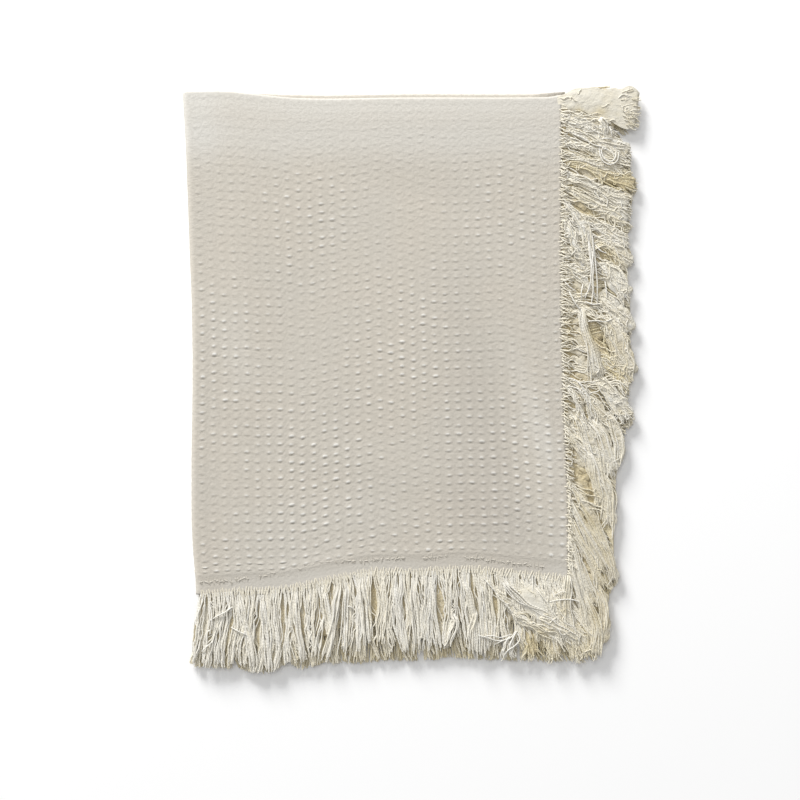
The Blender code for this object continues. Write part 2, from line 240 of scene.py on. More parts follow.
SIDE_GAPS = (
    (599, 113, 7, 2.2, 10), (579, 111, 6, 1.6, 20), (586, 156, 9, 2.6, 12),
    (566, 168, 5, 1.4, 60), (616, 167, 10, 2.2, 14), (576, 190, 8, 2.2, 30),
    (592, 195, 9, 2.0, 24), (590, 213, 9, 2.4, 30), (605, 222, 9, 2.4, 20),
    (576, 202, 9, 1.4, 40), (610, 254, 9, 3.2, 28), (580, 258, 8, 2.4, 30),
    (570, 284, 9, 1.5, 24), (595, 268, 8, 1.8, 84), (590, 300, 10, 3.0, 84),
    (596, 334, 15, 5.0, 70), (572, 316, 8, 2.2, 60), (572, 362, 7, 1.6, 12),
    (568, 375, 5, 2.6, 20), (600, 376, 8, 2.2, 50), (597, 386, 6, 1.6, 50),
    (566, 411, 6, 2.0, 40), (577, 428, 12, 2.6, 52), (583, 412, 9, 1.6, 60),
    (569, 444, 6, 1.8, 70), (586, 430, 6, 2.2, 70), (578, 473, 9, 3.4, 60),
    (585, 482, 7, 3.2, 30), (588, 492, 7, 2.6, 20), (578, 535, 9, 1.6, 72),
    (585, 515, 12, 1.4, 66), (594, 522, 12, 1.6, 64), (603, 538, 12, 1.6, 68),
    (591, 562, 14, 1.8, 64), (600, 580, 12, 1.8, 60), (583, 582, 9, 1.3, 60),
    (561, 608, 9, 2.0, 70), (592, 612, 12, 2.2, 84), (612, 430, 7, 1.6, 70),
    (612, 458, 6, 1.8, 60), (610, 476, 8, 1.4, 80), (596, 350, 9, 3.2, 60),
)

# Yellowish painted shade in the hollows and gaps of the fringe: plan x, y, half length, half
# width, heading, amount.
HOLLOW_SHADE_STRENGTH = 0.75
HOLLOW_SHADE = (
    (593, 336, 15, 7, 72, 1.10), (605, 352, 9, 7, 50, 0.50), (615, 372, 14, 9, 40, 0.45),
    (605, 254, 14, 6, 30, 0.80), (622, 184, 20, 9, 14, 0.70), (584, 210, 18, 5, 42, 0.70),
    (568, 330, 26, 5, 90, 0.55), (583, 476, 10, 9, 60, 0.95), (588, 492, 8, 6, 30, 0.95),
    (577, 428, 14, 5, 60, 0.45), (566, 411, 5, 4, 60, 0.60), (603, 386, 9, 5, 40, 0.40),
    (586, 156, 12, 4, 14, 0.60), (600, 113, 5, 4, 20, 0.80), (579, 112, 5, 3, 20, 0.60),
    (533, 640, 15, 13, 90, 0.85), (494, 605, 12, 5, 80, 0.50), (374, 604, 18, 4, 90, 0.80),
    (612, 222, 12, 5, 20, 0.45), (590, 300, 10, 5, 84, 0.55), (572, 168, 9, 4, 30, 0.35),
    (578, 190, 12, 4, 30, 0.40), (612, 430, 9, 5, 70, 0.30), (595, 522, 24, 4, 66, 0.40),
    (571, 447, 9, 5, 70, 0.35), (585, 515, 16, 4, 66, 0.40), (605, 556, 14, 6, 64, 0.30),
    (600, 580, 14, 4, 60, 0.45), (560, 606, 12, 5, 70, 0.35), (594, 614, 14, 4, 84, 0.40),
    (556, 650, 20, 8, 0, 0.45), (590, 650, 12, 8, 80, 0.40), (472, 606, 26, 5, 84, 0.35),
    (603, 502, 24, 13, 84, 0.50), (588, 545, 40, 15, 68, 0.34), (592, 618, 34, 18, 88, 0.44),
    (326, 641, 9, 5, 80, 0.50), (228, 640, 12, 5, 90, 0.35), (576, 375, 10, 6, 30, 0.30),
)

# Matted tufts of the side fringe: route in plan, width at the root, in the middle and
# at the tip, thickness, how high it lies, and how much painted shade it has.
TUFTS = (
    (((557, 104), (582, 101), (612, 107), (640, 111)), 12, 30, 45, 0.0028, 0.0010, 0.20),
    (((592, 244), (602, 250), (612, 256), (621, 262)), 8, 12, 12, 0.0030, -0.0010, 0.60),
    (((556, 117), (574, 120), (592, 124), (610, 128)), 8, 14, 16, 0.0034, 0.0020, 0.00),
    (((566, 126), (584, 130), (600, 136), (616, 146)), 8, 12, 14, 0.0030, 0.0012, 0.05),
    (((562, 122), (578, 127), (596, 132), (612, 138)), 5, 9, 12, 0.0030, 0.0018, 0.00),
    (((597, 119), (601, 124), (603, 130), (604, 137)), 5, 7, 6, 0.0024, 0.0046, 0.00),
    (((565, 130), (590, 140), (612, 150), (629, 158)), 5, 14, 25, 0.0036, 0.0022, 0.00),
    (((562, 142), (578, 147), (594, 153), (606, 160)), 5, 9, 11, 0.0026, 0.0026, 0.05),
    (((563, 152), (580, 158), (600, 166), (622, 172)), 5, 9, 12, 0.0028, 0.0014, 0.15),
    (((562, 163), (582, 167), (606, 178), (637, 186)), 5, 10, 17, 0.0036, 0.0016, 0.55),
    (((562, 176), (580, 182), (604, 193), (630, 206)), 5, 12, 18, 0.0034, 0.0022, 0.00),
    (((562, 188), (580, 197), (602, 210), (630, 222)), 5, 12, 18, 0.0034, 0.0016, 0.05),
    (((562, 199), (572, 212), (584, 232), (592, 258)), 5, 10, 9, 0.0030, 0.0034, 0.00),
    (((575, 215), (596, 226), (612, 236), (627, 246)), 6, 12, 16, 0.0034, 0.0014, 0.00),
    (((562, 216), (568, 232), (576, 250), (585, 268)), 5, 8, 6, 0.0028, 0.0036, 0.00),
    (((596, 240), (610, 246), (620, 256), (630, 268)), 8, 14, 16, 0.0034, 0.0016, 0.10),
    (((600, 262), (610, 274), (618, 286), (628, 298)), 10, 18, 18, 0.0036, 0.0018, 0.00),
    (((563, 246), (574, 254), (584, 262), (594, 272)), 4, 6, 8, 0.0024, 0.0020, 0.00),
    (((562, 262), (572, 270), (582, 280), (590, 292)), 4, 6, 8, 0.0024, 0.0020, 0.05),
    (((579, 303), (584, 330), (592, 352), (597, 380)), 6, 9, 16, 0.0036, 0.0050, 0.00),
    (((600, 292), (612, 306), (622, 318), (630, 334)), 10, 16, 16, 0.0034, 0.0020, 0.05),
    (((596, 352), (606, 364), (616, 375), (628, 388)), 8, 14, 14, 0.0030, 0.0000, 0.70),
    (((604, 316), (614, 334), (620, 352), (628, 378)), 12, 22, 22, 0.0038, 0.0018, 0.25),
    (((586, 336), (597, 350), (607, 362), (617, 374)), 9, 13, 13, 0.0030, 0.0002, 0.50),
    (((563, 378), (576, 384), (586, 398), (592, 420)), 4, 7, 8, 0.0026, 0.0034, 0.00),
    (((563, 386), (572, 394), (578, 408), (584, 424)), 3, 5, 6, 0.0022, 0.0040, 0.00),
    (((594, 378), (606, 388), (616, 402), (628, 420)), 12, 16, 18, 0.0034, 0.0020, 0.00),
    (((584, 392), (594, 404), (604, 418), (618, 432)), 8, 12, 14, 0.0032, 0.0018, 0.10),
    (((572, 410), (584, 428), (592, 448), (598, 470)), 6, 12, 12, 0.0034, 0.0024, 0.00),
    (((563, 426), (570, 436), (578, 449), (587, 462)), 4, 8, 8, 0.0028, 0.0018, 0.10),
    (((588, 418), (600, 434), (606, 452), (612, 474)), 8, 16, 16, 0.0036, 0.0022, 0.00),
    (((606, 412), (614, 430), (618, 446), (616, 464)), 8, 12, 10, 0.0030, 0.0016, 0.05),
    (((584, 446), (592, 466), (598, 486), (602, 506)), 8, 14, 16, 0.0036, 0.0024, 0.00),
    (((596, 470), (604, 488), (608, 504), (608, 524)), 8, 14, 14, 0.0036, 0.0020, 0.00),
    (((566, 478), (580, 500), (594, 524), (606, 548)), 4, 8, 10, 0.0028, 0.0022, 0.05),
    (((566, 494), (578, 518), (592, 544), (606, 572)), 5, 8, 12, 0.0030, 0.0030, 0.00),
    (((567, 512), (577, 536), (590, 562), (602, 590)), 4, 8, 10, 0.0028, 0.0022, 0.05),
    (((568, 532), (576, 556), (584, 580), (594, 606)), 4, 8, 10, 0.0028, 0.0018, 0.00),
    (((590, 520), (602, 544), (610, 562), (615, 582)), 8, 10, 10, 0.0030, 0.0020, 0.05),
    (((568, 552), (573, 576), (580, 600), (588, 628)), 5, 8, 12, 0.0030, 0.0026, 0.00),
    (((568, 570), (566, 592), (566, 612), (570, 638)), 5, 10, 14, 0.0032, 0.0032, 0.00),
    (((580, 590), (590, 612), (596, 632), (594, 656)), 8, 12, 14, 0.0030, 0.0018, 0.05),
    (((594, 580), (602, 602), (604, 622), (600, 644)), 8, 10, 12, 0.0028, 0.0012, 0.10),
    (((513, 583), (527, 594), (543, 606), (560, 618)), 14, 27, 30, 0.0030, 0.0022, 0.10),
    (((494, 586), (504, 598), (514, 611), (524, 625)), 5, 8, 9, 0.0028, 0.0026, 0.05),
    (((508, 606), (522, 618), (538, 627), (556, 634)), 7, 9, 10, 0.0030, 0.0034, 0.00),
    (((536, 612), (550, 622), (563, 630), (576, 638)), 8, 11, 12, 0.0030, 0.0036, 0.00),
    (((554, 586), (560, 604), (570, 622), (580, 640)), 8, 12, 14, 0.0030, 0.0030, 0.00),
    (((548, 590), (552, 606), (560, 620), (566, 634)), 8, 12, 13, 0.0030, 0.0026, 0.05),
    (((540, 604), (546, 624), (551, 640), (555, 657)), 10, 14, 13, 0.0030, -0.0006, 0.35),
    (((556, 606), (566, 626), (572, 642), (576, 659)), 10, 14, 12, 0.0030, -0.0006, 0.30),
    (((570, 612), (580, 632), (586, 646), (590, 655)), 10, 13, 10, 0.0030, -0.0006, 0.25),
    (((522, 606), (526, 624), (529, 640), (531, 655)), 8, 12, 12, 0.0030, -0.0012, 0.55),
)

# Right of and below this place of the picture the fringe lies combed, with little curl.
COMBED_FROM = (560, 395)

# Locks laid over the rest. Each has its route in plan, its width at the
# start, middle and end, how many yarns, how high it lies over its neighbours, and how
# much painted shade it takes.
END_LAID = (
    (((502, 577), (512, 592), (530, 606), (550, 616)), 5, 8, 9, 6, 0.0036, 0.0),
    (((533, 582), (544, 598), (556, 616), (570, 636)), 6, 10, 14, 6, 0.0032, 0.0),
    (((240, 594), (246, 620), (252, 640), (256, 668)), 4, 6, 7, 9, 0.0020, 0.0),
    (((262, 594), (266, 620), (268, 646), (270, 672)), 4, 7, 8, 10, 0.0022, 0.0),
    (((324, 586), (330, 610), (334, 630), (330, 658)), 4, 6, 7, 9, 0.0026, 0.0),
    (((340, 582), (336, 610), (332, 634), (324, 660)), 3, 4, 5, 7, 0.0030, 0.0),
    (((360, 577), (364, 604), (366, 624), (368, 646)), 4, 6, 7, 9, 0.0022, 0.0),
    (((347, 582), (346, 604), (345, 624), (343, 652)), 4, 6, 8, 9, 0.0020, 0.0),
    (((296, 590), (297, 612), (300, 634), (303, 662)), 4, 6, 8, 9, 0.0020, 0.0),
    (((430, 576), (433, 600), (436, 624), (440, 650)), 4, 6, 8, 9, 0.0018, 0.0),
    (((413, 577), (413, 598), (415, 620), (417, 650)), 4, 7, 8, 9, 0.0016, 0.0),
    (((394, 577), (398, 606), (402, 628), (406, 648)), 4, 7, 8, 10, 0.0020, 0.0),
    (((462, 574), (470, 602), (476, 630), (478, 656)), 4, 8, 9, 12, 0.0028, 0.0),
    (((472, 606), (474, 618), (470, 632), (472, 652)), 5, 8, 9, 12, 0.0034, 0.0),
    (((512, 634), (508, 641), (507, 650), (508, 658)), 5, 9, 14, 14, 0.0034, 0.0),
    (((452, 612), (456, 622), (452, 634), (448, 646)), 4, 7, 8, 9, 0.0030, 0.0),
    (((478, 577), (481, 600), (482, 622), (484, 654)), 6, 9, 10, 12, 0.0014, 0.0),
)

# Single loose yarns: route in plan, and how high they lie over the fringe.
LOOSE_YARNS = (
    (((600, 150), (601, 156), (604, 161), (610, 163), (614, 159), (615, 152)), 0.0060),
    (((598, 148), (599, 156), (602, 163), (609, 166), (616, 162), (618, 151)), 0.0056),
    (((608, 128), (610, 133), (611, 138)), 0.0050),
    (((601, 140), (606, 140), (611, 140)), 0.0050),
    (((586, 232), (589, 252), (590, 272), (588, 290), (582, 298)), 0.0066),
    (((592, 240), (594, 262), (596, 284), (596, 304)), 0.0066),
    (((568, 292), (574, 304), (580, 311)), 0.0064),
    (((582, 285), (580, 294), (581, 300)), 0.0064),
    (((588, 240), (591, 256), (592, 272), (591, 286), (595, 300)), 0.0070),
    (((591, 236), (592, 254), (590, 270), (589, 284), (584, 299)), 0.0072),
    (((587, 236), (588, 254), (591, 274), (592, 290), (590, 306)), 0.0068),
    (((584, 302), (592, 305), (600, 304)), 0.0050),
    (((586, 322), (594, 321), (604, 322), (612, 319)), 0.0050),
    (((548, 601), (556, 599), (566, 598), (574, 599), (581, 602)), 0.0050),
    (((517, 632), (519, 638), (514, 644), (507, 649), (503, 655)), 0.0056),
    (((515, 630), (510, 636), (502, 639), (494, 643)), 0.0044),
    (((474, 632), (482, 635), (491, 634), (500, 636), (510, 633)), 0.0046),
    (((478, 637), (486, 636), (496, 639), (505, 638)), 0.0042),
    (((516, 630), (512, 637), (509, 645), (510, 654)), 0.0050),
    (((233, 606), (226, 611), (218, 615), (212, 619)), 0.0050),
    (((214, 640), (208, 645), (203, 650)), 0.0046),
    (((232, 626), (238, 629), (244, 632), (249, 634)), 0.0044),
    (((211, 633), (213, 618), (212, 606)), 0.0046),
    (((347, 606), (350, 605), (354, 608)), 0.0042),
    (((484, 578), (490, 585), (496, 592)), 0.0036),
    (((566, 378), (574, 380), (582, 388), (588, 398)), 0.0050),
    (((567, 386), (577, 389), (584, 398), (588, 410)), 0.0054),
    (((562, 280), (568, 287), (575, 292)), 0.0040),
    (((594, 246), (600, 252), (606, 254)), 0.0050),
    (((604, 282), (605, 290), (606, 300)), 0.0044),
)

# The drawn-thread line above the plain band: runs of it in plan, across the panel.
HEM_RUNS = (
    ((202, 581), (217, 580), (232, 580)),
    ((237, 578), (248, 577)),
    ((261, 575), (267, 574), (274, 572)),
    ((300, 567), (309, 564), (319, 561)),
    ((322, 561), (332, 560), (343, 560)),
    ((346, 560), (354, 560)),
    ((361, 560), (375, 559), (390, 558), (403, 557)),
    ((425, 556), (436, 556), (446, 555)),
    ((466, 556), (474, 557), (482, 557)),
    ((487, 558), (498, 560), (510, 562), (525, 564), (541, 565)),
)
HEM_STATIONS = 14  # points along one run
HEM_SCATTER = 0.0011  # how far the points lie off it
HEM_PIT_DROP = 0.0018  # how far below it the pits lie
ROOT_STATIONS = 160  # points along the line of root loops

# The stage: half the width of the floor, the place of the plan in the middle of the
# picture, and each lamp's name, place, width and setting of strength.
FLOOR_SIZE = 16.0
PICTURE_MIDDLE = (400.0, 400.0)
LAMPS = (
    ("key", (-1.2, 3.0, 8.5), 4.2, "key_share"),
    ("low_key", (-3.8, 7.4, 3.5), 3.4, "low_share"),
)


def eased(low, high, at):
    """Smooth step from 0 at low to 1 at high."""
    share = np.clip((at - low) / (high - low), 0.0, 1.0)
    return share * share * (3.0 - 2.0 * share)


def along(table, at, column=1):
    """Smooth curve through a column of a table, at an array of places."""
    rows = np.asarray(table, float)
    x, y = rows[:, 0], rows[:, column]
    last = len(x) - 1
    behind = np.maximum(np.arange(last + 1) - 1, 0)
    ahead = np.minimum(np.arange(last + 1) + 1, last)
    slopes = (y[ahead] - y[behind]) / (x[ahead] - x[behind])
    held = np.clip(at, x[0], x[-1])
    low = np.clip(np.searchsorted(x, held) - 1, 0, last - 1)
    span = x[low + 1] - x[low]
    u = (held - x[low]) / span
    start = (2 * u**3 - 3 * u**2 + 1) * y[low]
    end = (3 * u**2 - 2 * u**3) * y[low + 1]
    leave = (u**3 - 2 * u**2 + u) * span * slopes[low]
    arrive = (u**3 - u**2) * span * slopes[low + 1]
    return start + end + leave + arrive


def layer_of(s, t):
    """Number of the layer, from the floor up."""
    return np.where(s >= 0, np.where(t >= 0, 3, 2), np.where(t >= 0, 0, 1))


def fold(s, t, n):
    """Folds points of the sheet over the top end, then under at the left side."""
    turn = np.clip(t / FIRST_HALF_ARC, -1, 1) * math.pi / 2
    half = LAYER_PITCH / 2 + n
    turning = np.abs(t) < FIRST_HALF_ARC
    down = np.where(turning, -half * np.cos(turn), np.abs(t) - FIRST_HALF_ARC)
    up = np.where(turning, half * np.sin(turn), np.copysign(half, t))
    radius = LAYER_PITCH + up
    roll = np.clip(s / SECOND_HALF_ARC, -1, 1) * math.pi / 2
    rolling = np.abs(s) < SECOND_HALF_ARC
    across = np.where(rolling, -radius * np.cos(roll), np.abs(s) - SECOND_HALF_ARC)
    height = np.where(rolling, radius * np.sin(roll), np.copysign(radius, s))
    return across, down, height


def loft(across, down):
    """Height of the stack as a share of its even height."""
    share = np.ones_like(across)
    for x, y, spread, lift in LOFT:
        share += lift * np.exp(-((across - x) ** 2 + (down - y) ** 2) / (2 * spread**2))
    return share


def ovals(rows, x, y):
    """Sum of soft ovals: middle, half length, half width, turn in degrees, amount."""
    total = np.zeros_like(x)
    for middle_x, middle_y, long, wide, turn, amount in rows:
        c, s = math.cos(math.radians(turn)), math.sin(math.radians(turn))
        p = (x - middle_x) * c + (y - middle_y) * s
        q = (y - middle_y) * c - (x - middle_x) * s
        total += amount * np.exp(-((p / long) ** 2) - (q / wide) ** 2)
    return total


def hollow_shade(x, y):
    """How much yellowish painted shade of the hollows the fringe has at places on the floor."""
    rows = [(*plan((middle_x, middle_y)), long * PLAN_UNIT, wide * PLAN_UNIT, -heading,
             HOLLOW_SHADE_STRENGTH * amount)
            for middle_x, middle_y, long, wide, heading, amount in HOLLOW_SHADE]
    return ovals(rows, x, y)


def shift(layer, across, down):
    """Shift of a layer in plan: to the right, and down the panel."""
    u = np.clip(across / FLAT_ACROSS, 0, 1)
    v = np.clip(down / FLAT_ALONG, 0, 1)
    steps = np.asarray(EDGE_STEPS)[layer]
    right = along(RIGHT_EDGE, down) + steps[..., 0]
    right += (steps[..., 1] - steps[..., 0]) * eased(0.02, 0.25, v)
    top = -along(TOP_END, across)
    top += np.where(layer >= 2, along(UPPER_SETBACK, across), 0.0)
    bottom = np.choose(layer, [along(BOTTOM_EDGE, across, 1 + k) for k in range(4)])
    return along(LEFT_SIDE, down) * (1 - u) + right * u, top * (1 - v) + bottom * v


def place(s, t, n):
    """Points of the finished blanket for points of the unfolded sheet."""
    s, t, n = np.broadcast_arrays(*(np.asarray(v, float) for v in (s, t, n)))
    across, down, height = fold(s, t, np.zeros_like(n))
    over = fold(s, t, n)
    right, lower = shift(layer_of(s, t), across, down)
    stack = (height + 1.5 * LAYER_PITCH) * loft(across, down)
    stack += ovals(CREASES, across, down) * np.clip(stack / (3 * LAYER_PITCH), 0, 1) ** 2
    x = ARC_X + across + right + over[0] - across
    y = ARC_Y - (down + lower + over[1] - down)
    z = np.maximum(0.0, CLOTH_THICKNESS / 2 + stack + over[2] - height)
    return np.stack([x, y, z], axis=-1)


def drape(layer, x, y):
    """Height of the middle of a layer's fringe above the floor."""
    across, down = x - ARC_X, ARC_Y - y
    beyond = np.hypot(np.maximum(0, across - FLAT_ACROSS), np.maximum(0, down - FLAT_ALONG))
    inner = loft(np.minimum(across, FLAT_ACROSS), np.minimum(down, FLAT_ALONG))
    high = CLOTH_THICKNESS / 2 + layer * LAYER_PITCH * inner
    low = TIP_LOW + layer * TIP_PITCH
    low = low + BOTTOM_RISE * eased(0.01, DRAPE_REACH, down - FLAT_ALONG)
    start, stop = (DRAPE_START, DRAPE_REACH) if layer else (0.0, DRAPE_START)
    return high + (low - high) * eased(start, stop, beyond)


def plan(points):
    """Plan places in metres."""
    spots = np.asarray(points, float)
    x = (spots[..., 0] - PLAN_X) * PLAN_UNIT
    y = (PLAN_Y - spots[..., 1]) * PLAN_UNIT
    return np.stack([x, y], axis=-1)


class Signal:
    """A socket of a node tree that is worked with like a number."""

    def __init__(self, tree, socket=None):
        self.tree = tree
        self.socket = socket

    def node(self, kind, settings=None, values=None, output=0):
        """Adds a node, sets it up, fills its sockets and gives one of its outputs."""
        made = self.tree.nodes.new(kind)
        for name, value in (settings or {}).items():
            setattr(made, name, value)
        for key, value in (values or {}).items():
            if isinstance(value, Signal):
                self.tree.links.new(value.socket, made.inputs[key])
            else:
                made.inputs[key].default_value = value
        return Signal(self.tree, made.outputs[output])

    def maths(self, operation, *values):
        """Adds a Math node over values and sockets."""
        return self.node("ShaderNodeMath", {"operation": operation}, dict(enumerate(values)))

    def __add__(self, other):
        return self.maths("ADD", self, other)

    __radd__ = __add__

    def __sub__(self, other):
        return self.maths("SUBTRACT", self, other)

    def __rsub__(self, other):
        return self.maths("SUBTRACT", other, self)

    def __mul__(self, other):
        return self.maths("MULTIPLY", self, other)

    __rmul__ = __mul__

    def clamped(self, low, high):
        """This value brought from the range low to high to the range 0 to 1."""
        ends = {"From Min": low, "From Max": high, "Value": self}
        return self.node("ShaderNodeMapRange", {"interpolation_type": "SMOOTHSTEP"}, ends)

    def mixed(self, below, above):
        """Colour from below to above by this share."""
        kind = {"data_type": "RGBA", "clamp_factor": True}
        return self.node("ShaderNodeMix", kind, {0: self, 6: below, 7: above}, 2)

    def attribute(self, name, output=2):
        """A stored number by name, or with output 1 a stored vector."""
        return self.node("ShaderNodeAttribute", {"attribute_name": name}, output=output)

    def noise(self, scale, detail, rough=0.5, distortion=0.0):
        """Noise at this place."""
        size = {"Scale": scale, "Detail": detail, "Roughness": rough, "Distortion": distortion}
        return self.node("ShaderNodeTexNoise", {}, {"Vector": self, **size})

    def parts(self):
        """X and Y of this vector."""
        first = self.node("ShaderNodeSeparateXYZ", values={0: self})
        return first, Signal(self.tree, first.socket.node.outputs[1])

    def bumped(self, strength=0.9):
        """Normal of a surface with this height on it."""
        size = {"Height": self, "Distance": 1.0, "Strength": strength}
        return self.node("ShaderNodeBump", values=size)


def opaque(colour, factor=1.0):
    """Colour with its alpha, brightened by a factor."""
    return tuple(min(1.0, channel * factor) for channel in colour[:3]) + (1.0,)


def new_material(name, roughness, sheen):
    """Principled material with its uniform sockets set, and a place to add nodes from."""
    made = bpy.data.materials.new(name)
    made.use_nodes = True
    shader = made.node_tree.nodes["Principled BSDF"]
    shader.inputs["Roughness"].default_value = roughness
    shader.inputs["Specular IOR Level"].default_value = 0.22
    shader.inputs["Sheen Weight"].default_value = sheen
    shader.inputs["Sheen Roughness"].default_value = 0.45
    return made, shader, Signal(made.node_tree)


def connect(shader, **signals):
    """Joins signals to the shader's sockets, named with underscores for spaces."""
    for name, signal in signals.items():
        links = shader.id_data.links
        links.new(signal.socket, shader.inputs[name.replace("_", " ")])


def layered(base, *washes):
    """Colour with washes over it, each a share and a colour."""
    for share, colour in washes:
        base = share.mixed(base, opaque(colour))
    return base


def cloth_material(colours):
    """Cream cotton: mottled yarn colour, painted highlights on the floats, painted shade in the
    hollows under them, painted light and shade of the broad slopes, woven bump.
    """
    made, shader, start = new_material("woven_cotton", 0.9, 0.12)
    shader.inputs["Base Color"].default_value = opaque(colours.cloth)
    sheet = start.node("ShaderNodeUVMap", {"uv_map": "sheet"})
    relief, plain, shade = (start.attribute(name) for name in ("relief", "plain", "shade"))
    broad = sheet.noise(9.0, 3.0).clamped(0.36, 0.64)
    patch = sheet.noise(31.0, 2.0).clamped(0.34, 0.66)
    speck = sheet.noise(260.0, 3.0, 0.6).clamped(0.30, 0.70)
    fine = sheet.noise(900.0, 2.0).clamped(0.25, 0.75)
    base = layered(
        broad.mixed(opaque(colours.cloth_warm), opaque(colours.cloth_cool)),
        (0.45 * patch, colours.cloth),
        # The next four washes are painted light and shade: shade in the hollows under the floats,
        # highlights on the float tops, light on the lit slopes and shade on those turned away.
        (0.70 * (0.0 - relief).clamped(0.0, 0.70), colours.hollow),
        (0.75 * relief.clamped(0.35, 1.1), colours.float_highlight),
        (shade.clamped(0.0, 1.0), colours.cloth_painted_light),
        ((0.0 - shade).clamped(0.0, 1.0), colours.cloth_painted_shade),
        (0.16 * speck, colours.hollow),
        (0.10 * fine, colours.float_highlight))

    across, down = sheet.parts()
    wobble = (sheet.noise(120.0, 2.0) - 0.5) * 0.0009

    def waves(operation, place_in, pitch):
        return start.maths(operation, place_in * (2 * math.pi / pitch))

    weave = waves("SINE", across + wobble, WEFT_PITCH) * waves("SINE", down + wobble, WARP_PITCH)
    column = waves("COSINE", across, PLAIN_COLUMN).clamped(0.1, 0.9)
    floats = column * waves("COSINE", down, PLAIN_ROW).clamped(0.2, 0.9) * plain
    height = weave * 0.00003 + speck * 0.00022 + fine * 0.00006 + floats * 0.0005
    connect(shader, Base_Color=base, Roughness=0.84 + 0.12 * speck, Normal=height.bumped())
    return made


def yarn_material(colours):
    """Spun cotton yarn: tint a yarn, painted shade low in the pile and in the hollows, twisted
    plies.
    """
    made, shader, start = new_material("spun_yarn", 0.9, 0.04)
    shader.inputs["Base Color"].default_value = opaque(colours.yarn)
    tint, deep_shade, run, matted, strand = (
        start.attribute(name) for name in ("tint", "deep_shade", "run", "matted", "strand"))
    facing, other = start.attribute("around", 1).parts()
    spot = start.node("ShaderNodeTexCoord", output=3)
    patch = spot.noise(55.0, 3.0).clamped(0.35, 0.65)
    fibre = spot.noise(1400.0, 2.0).clamped(0.3, 0.7)
    base = layered(
        tint.mixed(opaque(colours.yarn_warm), opaque(colours.yarn_light)),
        (0.35 * patch, colours.yarn),
        # Painted shade of yarns low in the pile and in the hollows.
        (0.92 * deep_shade, colours.yarn_shade_and_fibre),
        (0.14 * fibre, colours.yarn_shade_and_fibre))

    def combed(over, length, detail, distortion):
        weft = start.node("ShaderNodeCombineXYZ", values={0: strand * over, 1: run * length})
        return weft.noise(1.0, detail, distortion=distortion)

    hair = combed(520.0, 150.0, 3.0, 1.4).clamped(0.30, 0.70)
    lock = combed(240.0, 80.0, 2.0, 1.2).clamped(0.36, 0.60)
    clump = spot.noise(130.0, 3.0, 0.6).clamped(0.36, 0.62)
    stain = spot.noise(36.0, 2.0).clamped(0.44, 0.66)
    felt = layered(
        clump.mixed(opaque(colours.felt), opaque(colours.felt_cool)),
        (0.50 * stain, colours.felt_shade_and_mottle),
        # Painted shade of the tufts' hollows and undersides.
        (deep_shade, colours.felt_shade_and_mottle),
        ((1.0 - lock) * 0.18, colours.yarn_shade_and_fibre),
        (hair * 0.16, colours.yarn_light))
    turn = run * (2 * math.pi / TWIST)
    swell = turn.maths("SINE", turn) * facing + turn.maths("COSINE", turn) * other
    knot = spot.noise(330.0, 2.0, 0.6).clamped(0.34, 0.66)
    tangle = (hair * 0.00010 + lock * 0.00014 + knot * 0.00012 + clump * 0.0009) * matted
    height = swell * 0.00013 + fibre * 0.00010 + tangle
    connect(shader, Base_Color=matted.mixed(base, felt), Roughness=0.80 + 0.14 * fibre,
            Normal=height.bumped())
    return made


def shared(name, maker, *given):
    """Material by name, made the first time it is asked for."""
    return bpy.data.materials.get(name) or maker(*given)


def cell_shares(cells, fractions):
    """Stations of so many cells in a row, each with the same inner fractions."""
    return np.array([cell + share for cell in range(cells) for share in fractions])


def sheet_stations(sizes):
    """Stations of the cloth in s and t, and which of them the coarse skin keeps."""
    columns = int((HALF_ACROSS - SECOND_HALF_ARC) / sizes.float_column)
    rows = int((FLOATS_TO - FIRST_HALF_ARC) / sizes.float_row)
    wide = (HALF_ACROSS - SECOND_HALF_ARC) / columns
    high = (FLOATS_TO - FIRST_HALF_ARC) / rows
    in_column, in_row = (0, 0.20, 0.35, 0.5, 0.65, 0.80), (0, 0.27, 0.37, 0.46, 0.56, 0.67, 0.80)
    fine_s = SECOND_HALF_ARC + wide * cell_shares(columns, in_column)
    fine_t = FIRST_HALF_ARC + high * cell_shares(rows, in_row)
    band = [PLAIN_FROM - BAND_STEP, PLAIN_FROM - BAND_STEP / 2, PLAIN_FROM,
            PLAIN_FROM + 0.008, HALF_ALONG - 0.003]
    fine_s = np.append(fine_s, HALF_ACROSS)
    fine_t = np.concatenate([fine_t, band, [HALF_ALONG]])
    rough_s = np.append(fine_s[: -1 : 3 * len(in_column)], HALF_ACROSS)
    rough_t = np.concatenate([fine_t[: -len(band) - 1 : 3 * len(in_row)], band[::2], [HALF_ALONG]])
    turn_s = np.linspace(-SECOND_HALF_ARC, SECOND_HALF_ARC, 11)[1:-1]
    turn_t = np.linspace(-FIRST_HALF_ARC, FIRST_HALF_ARC, 9)[1:-1]
    s = np.concatenate([-rough_s[::-1], turn_s, fine_s])
    t = np.concatenate([-rough_t[::-1], turn_t, fine_t])
    keep_s = [i for i, v in enumerate(s) if v < SECOND_HALF_ARC - 1e-9 or v in set(rough_s)]
    keep_t = [i for i, v in enumerate(t) if v < FIRST_HALF_ARC - 1e-9 or v in set(rough_t)]
    return s, t, keep_s, keep_t, wide, high


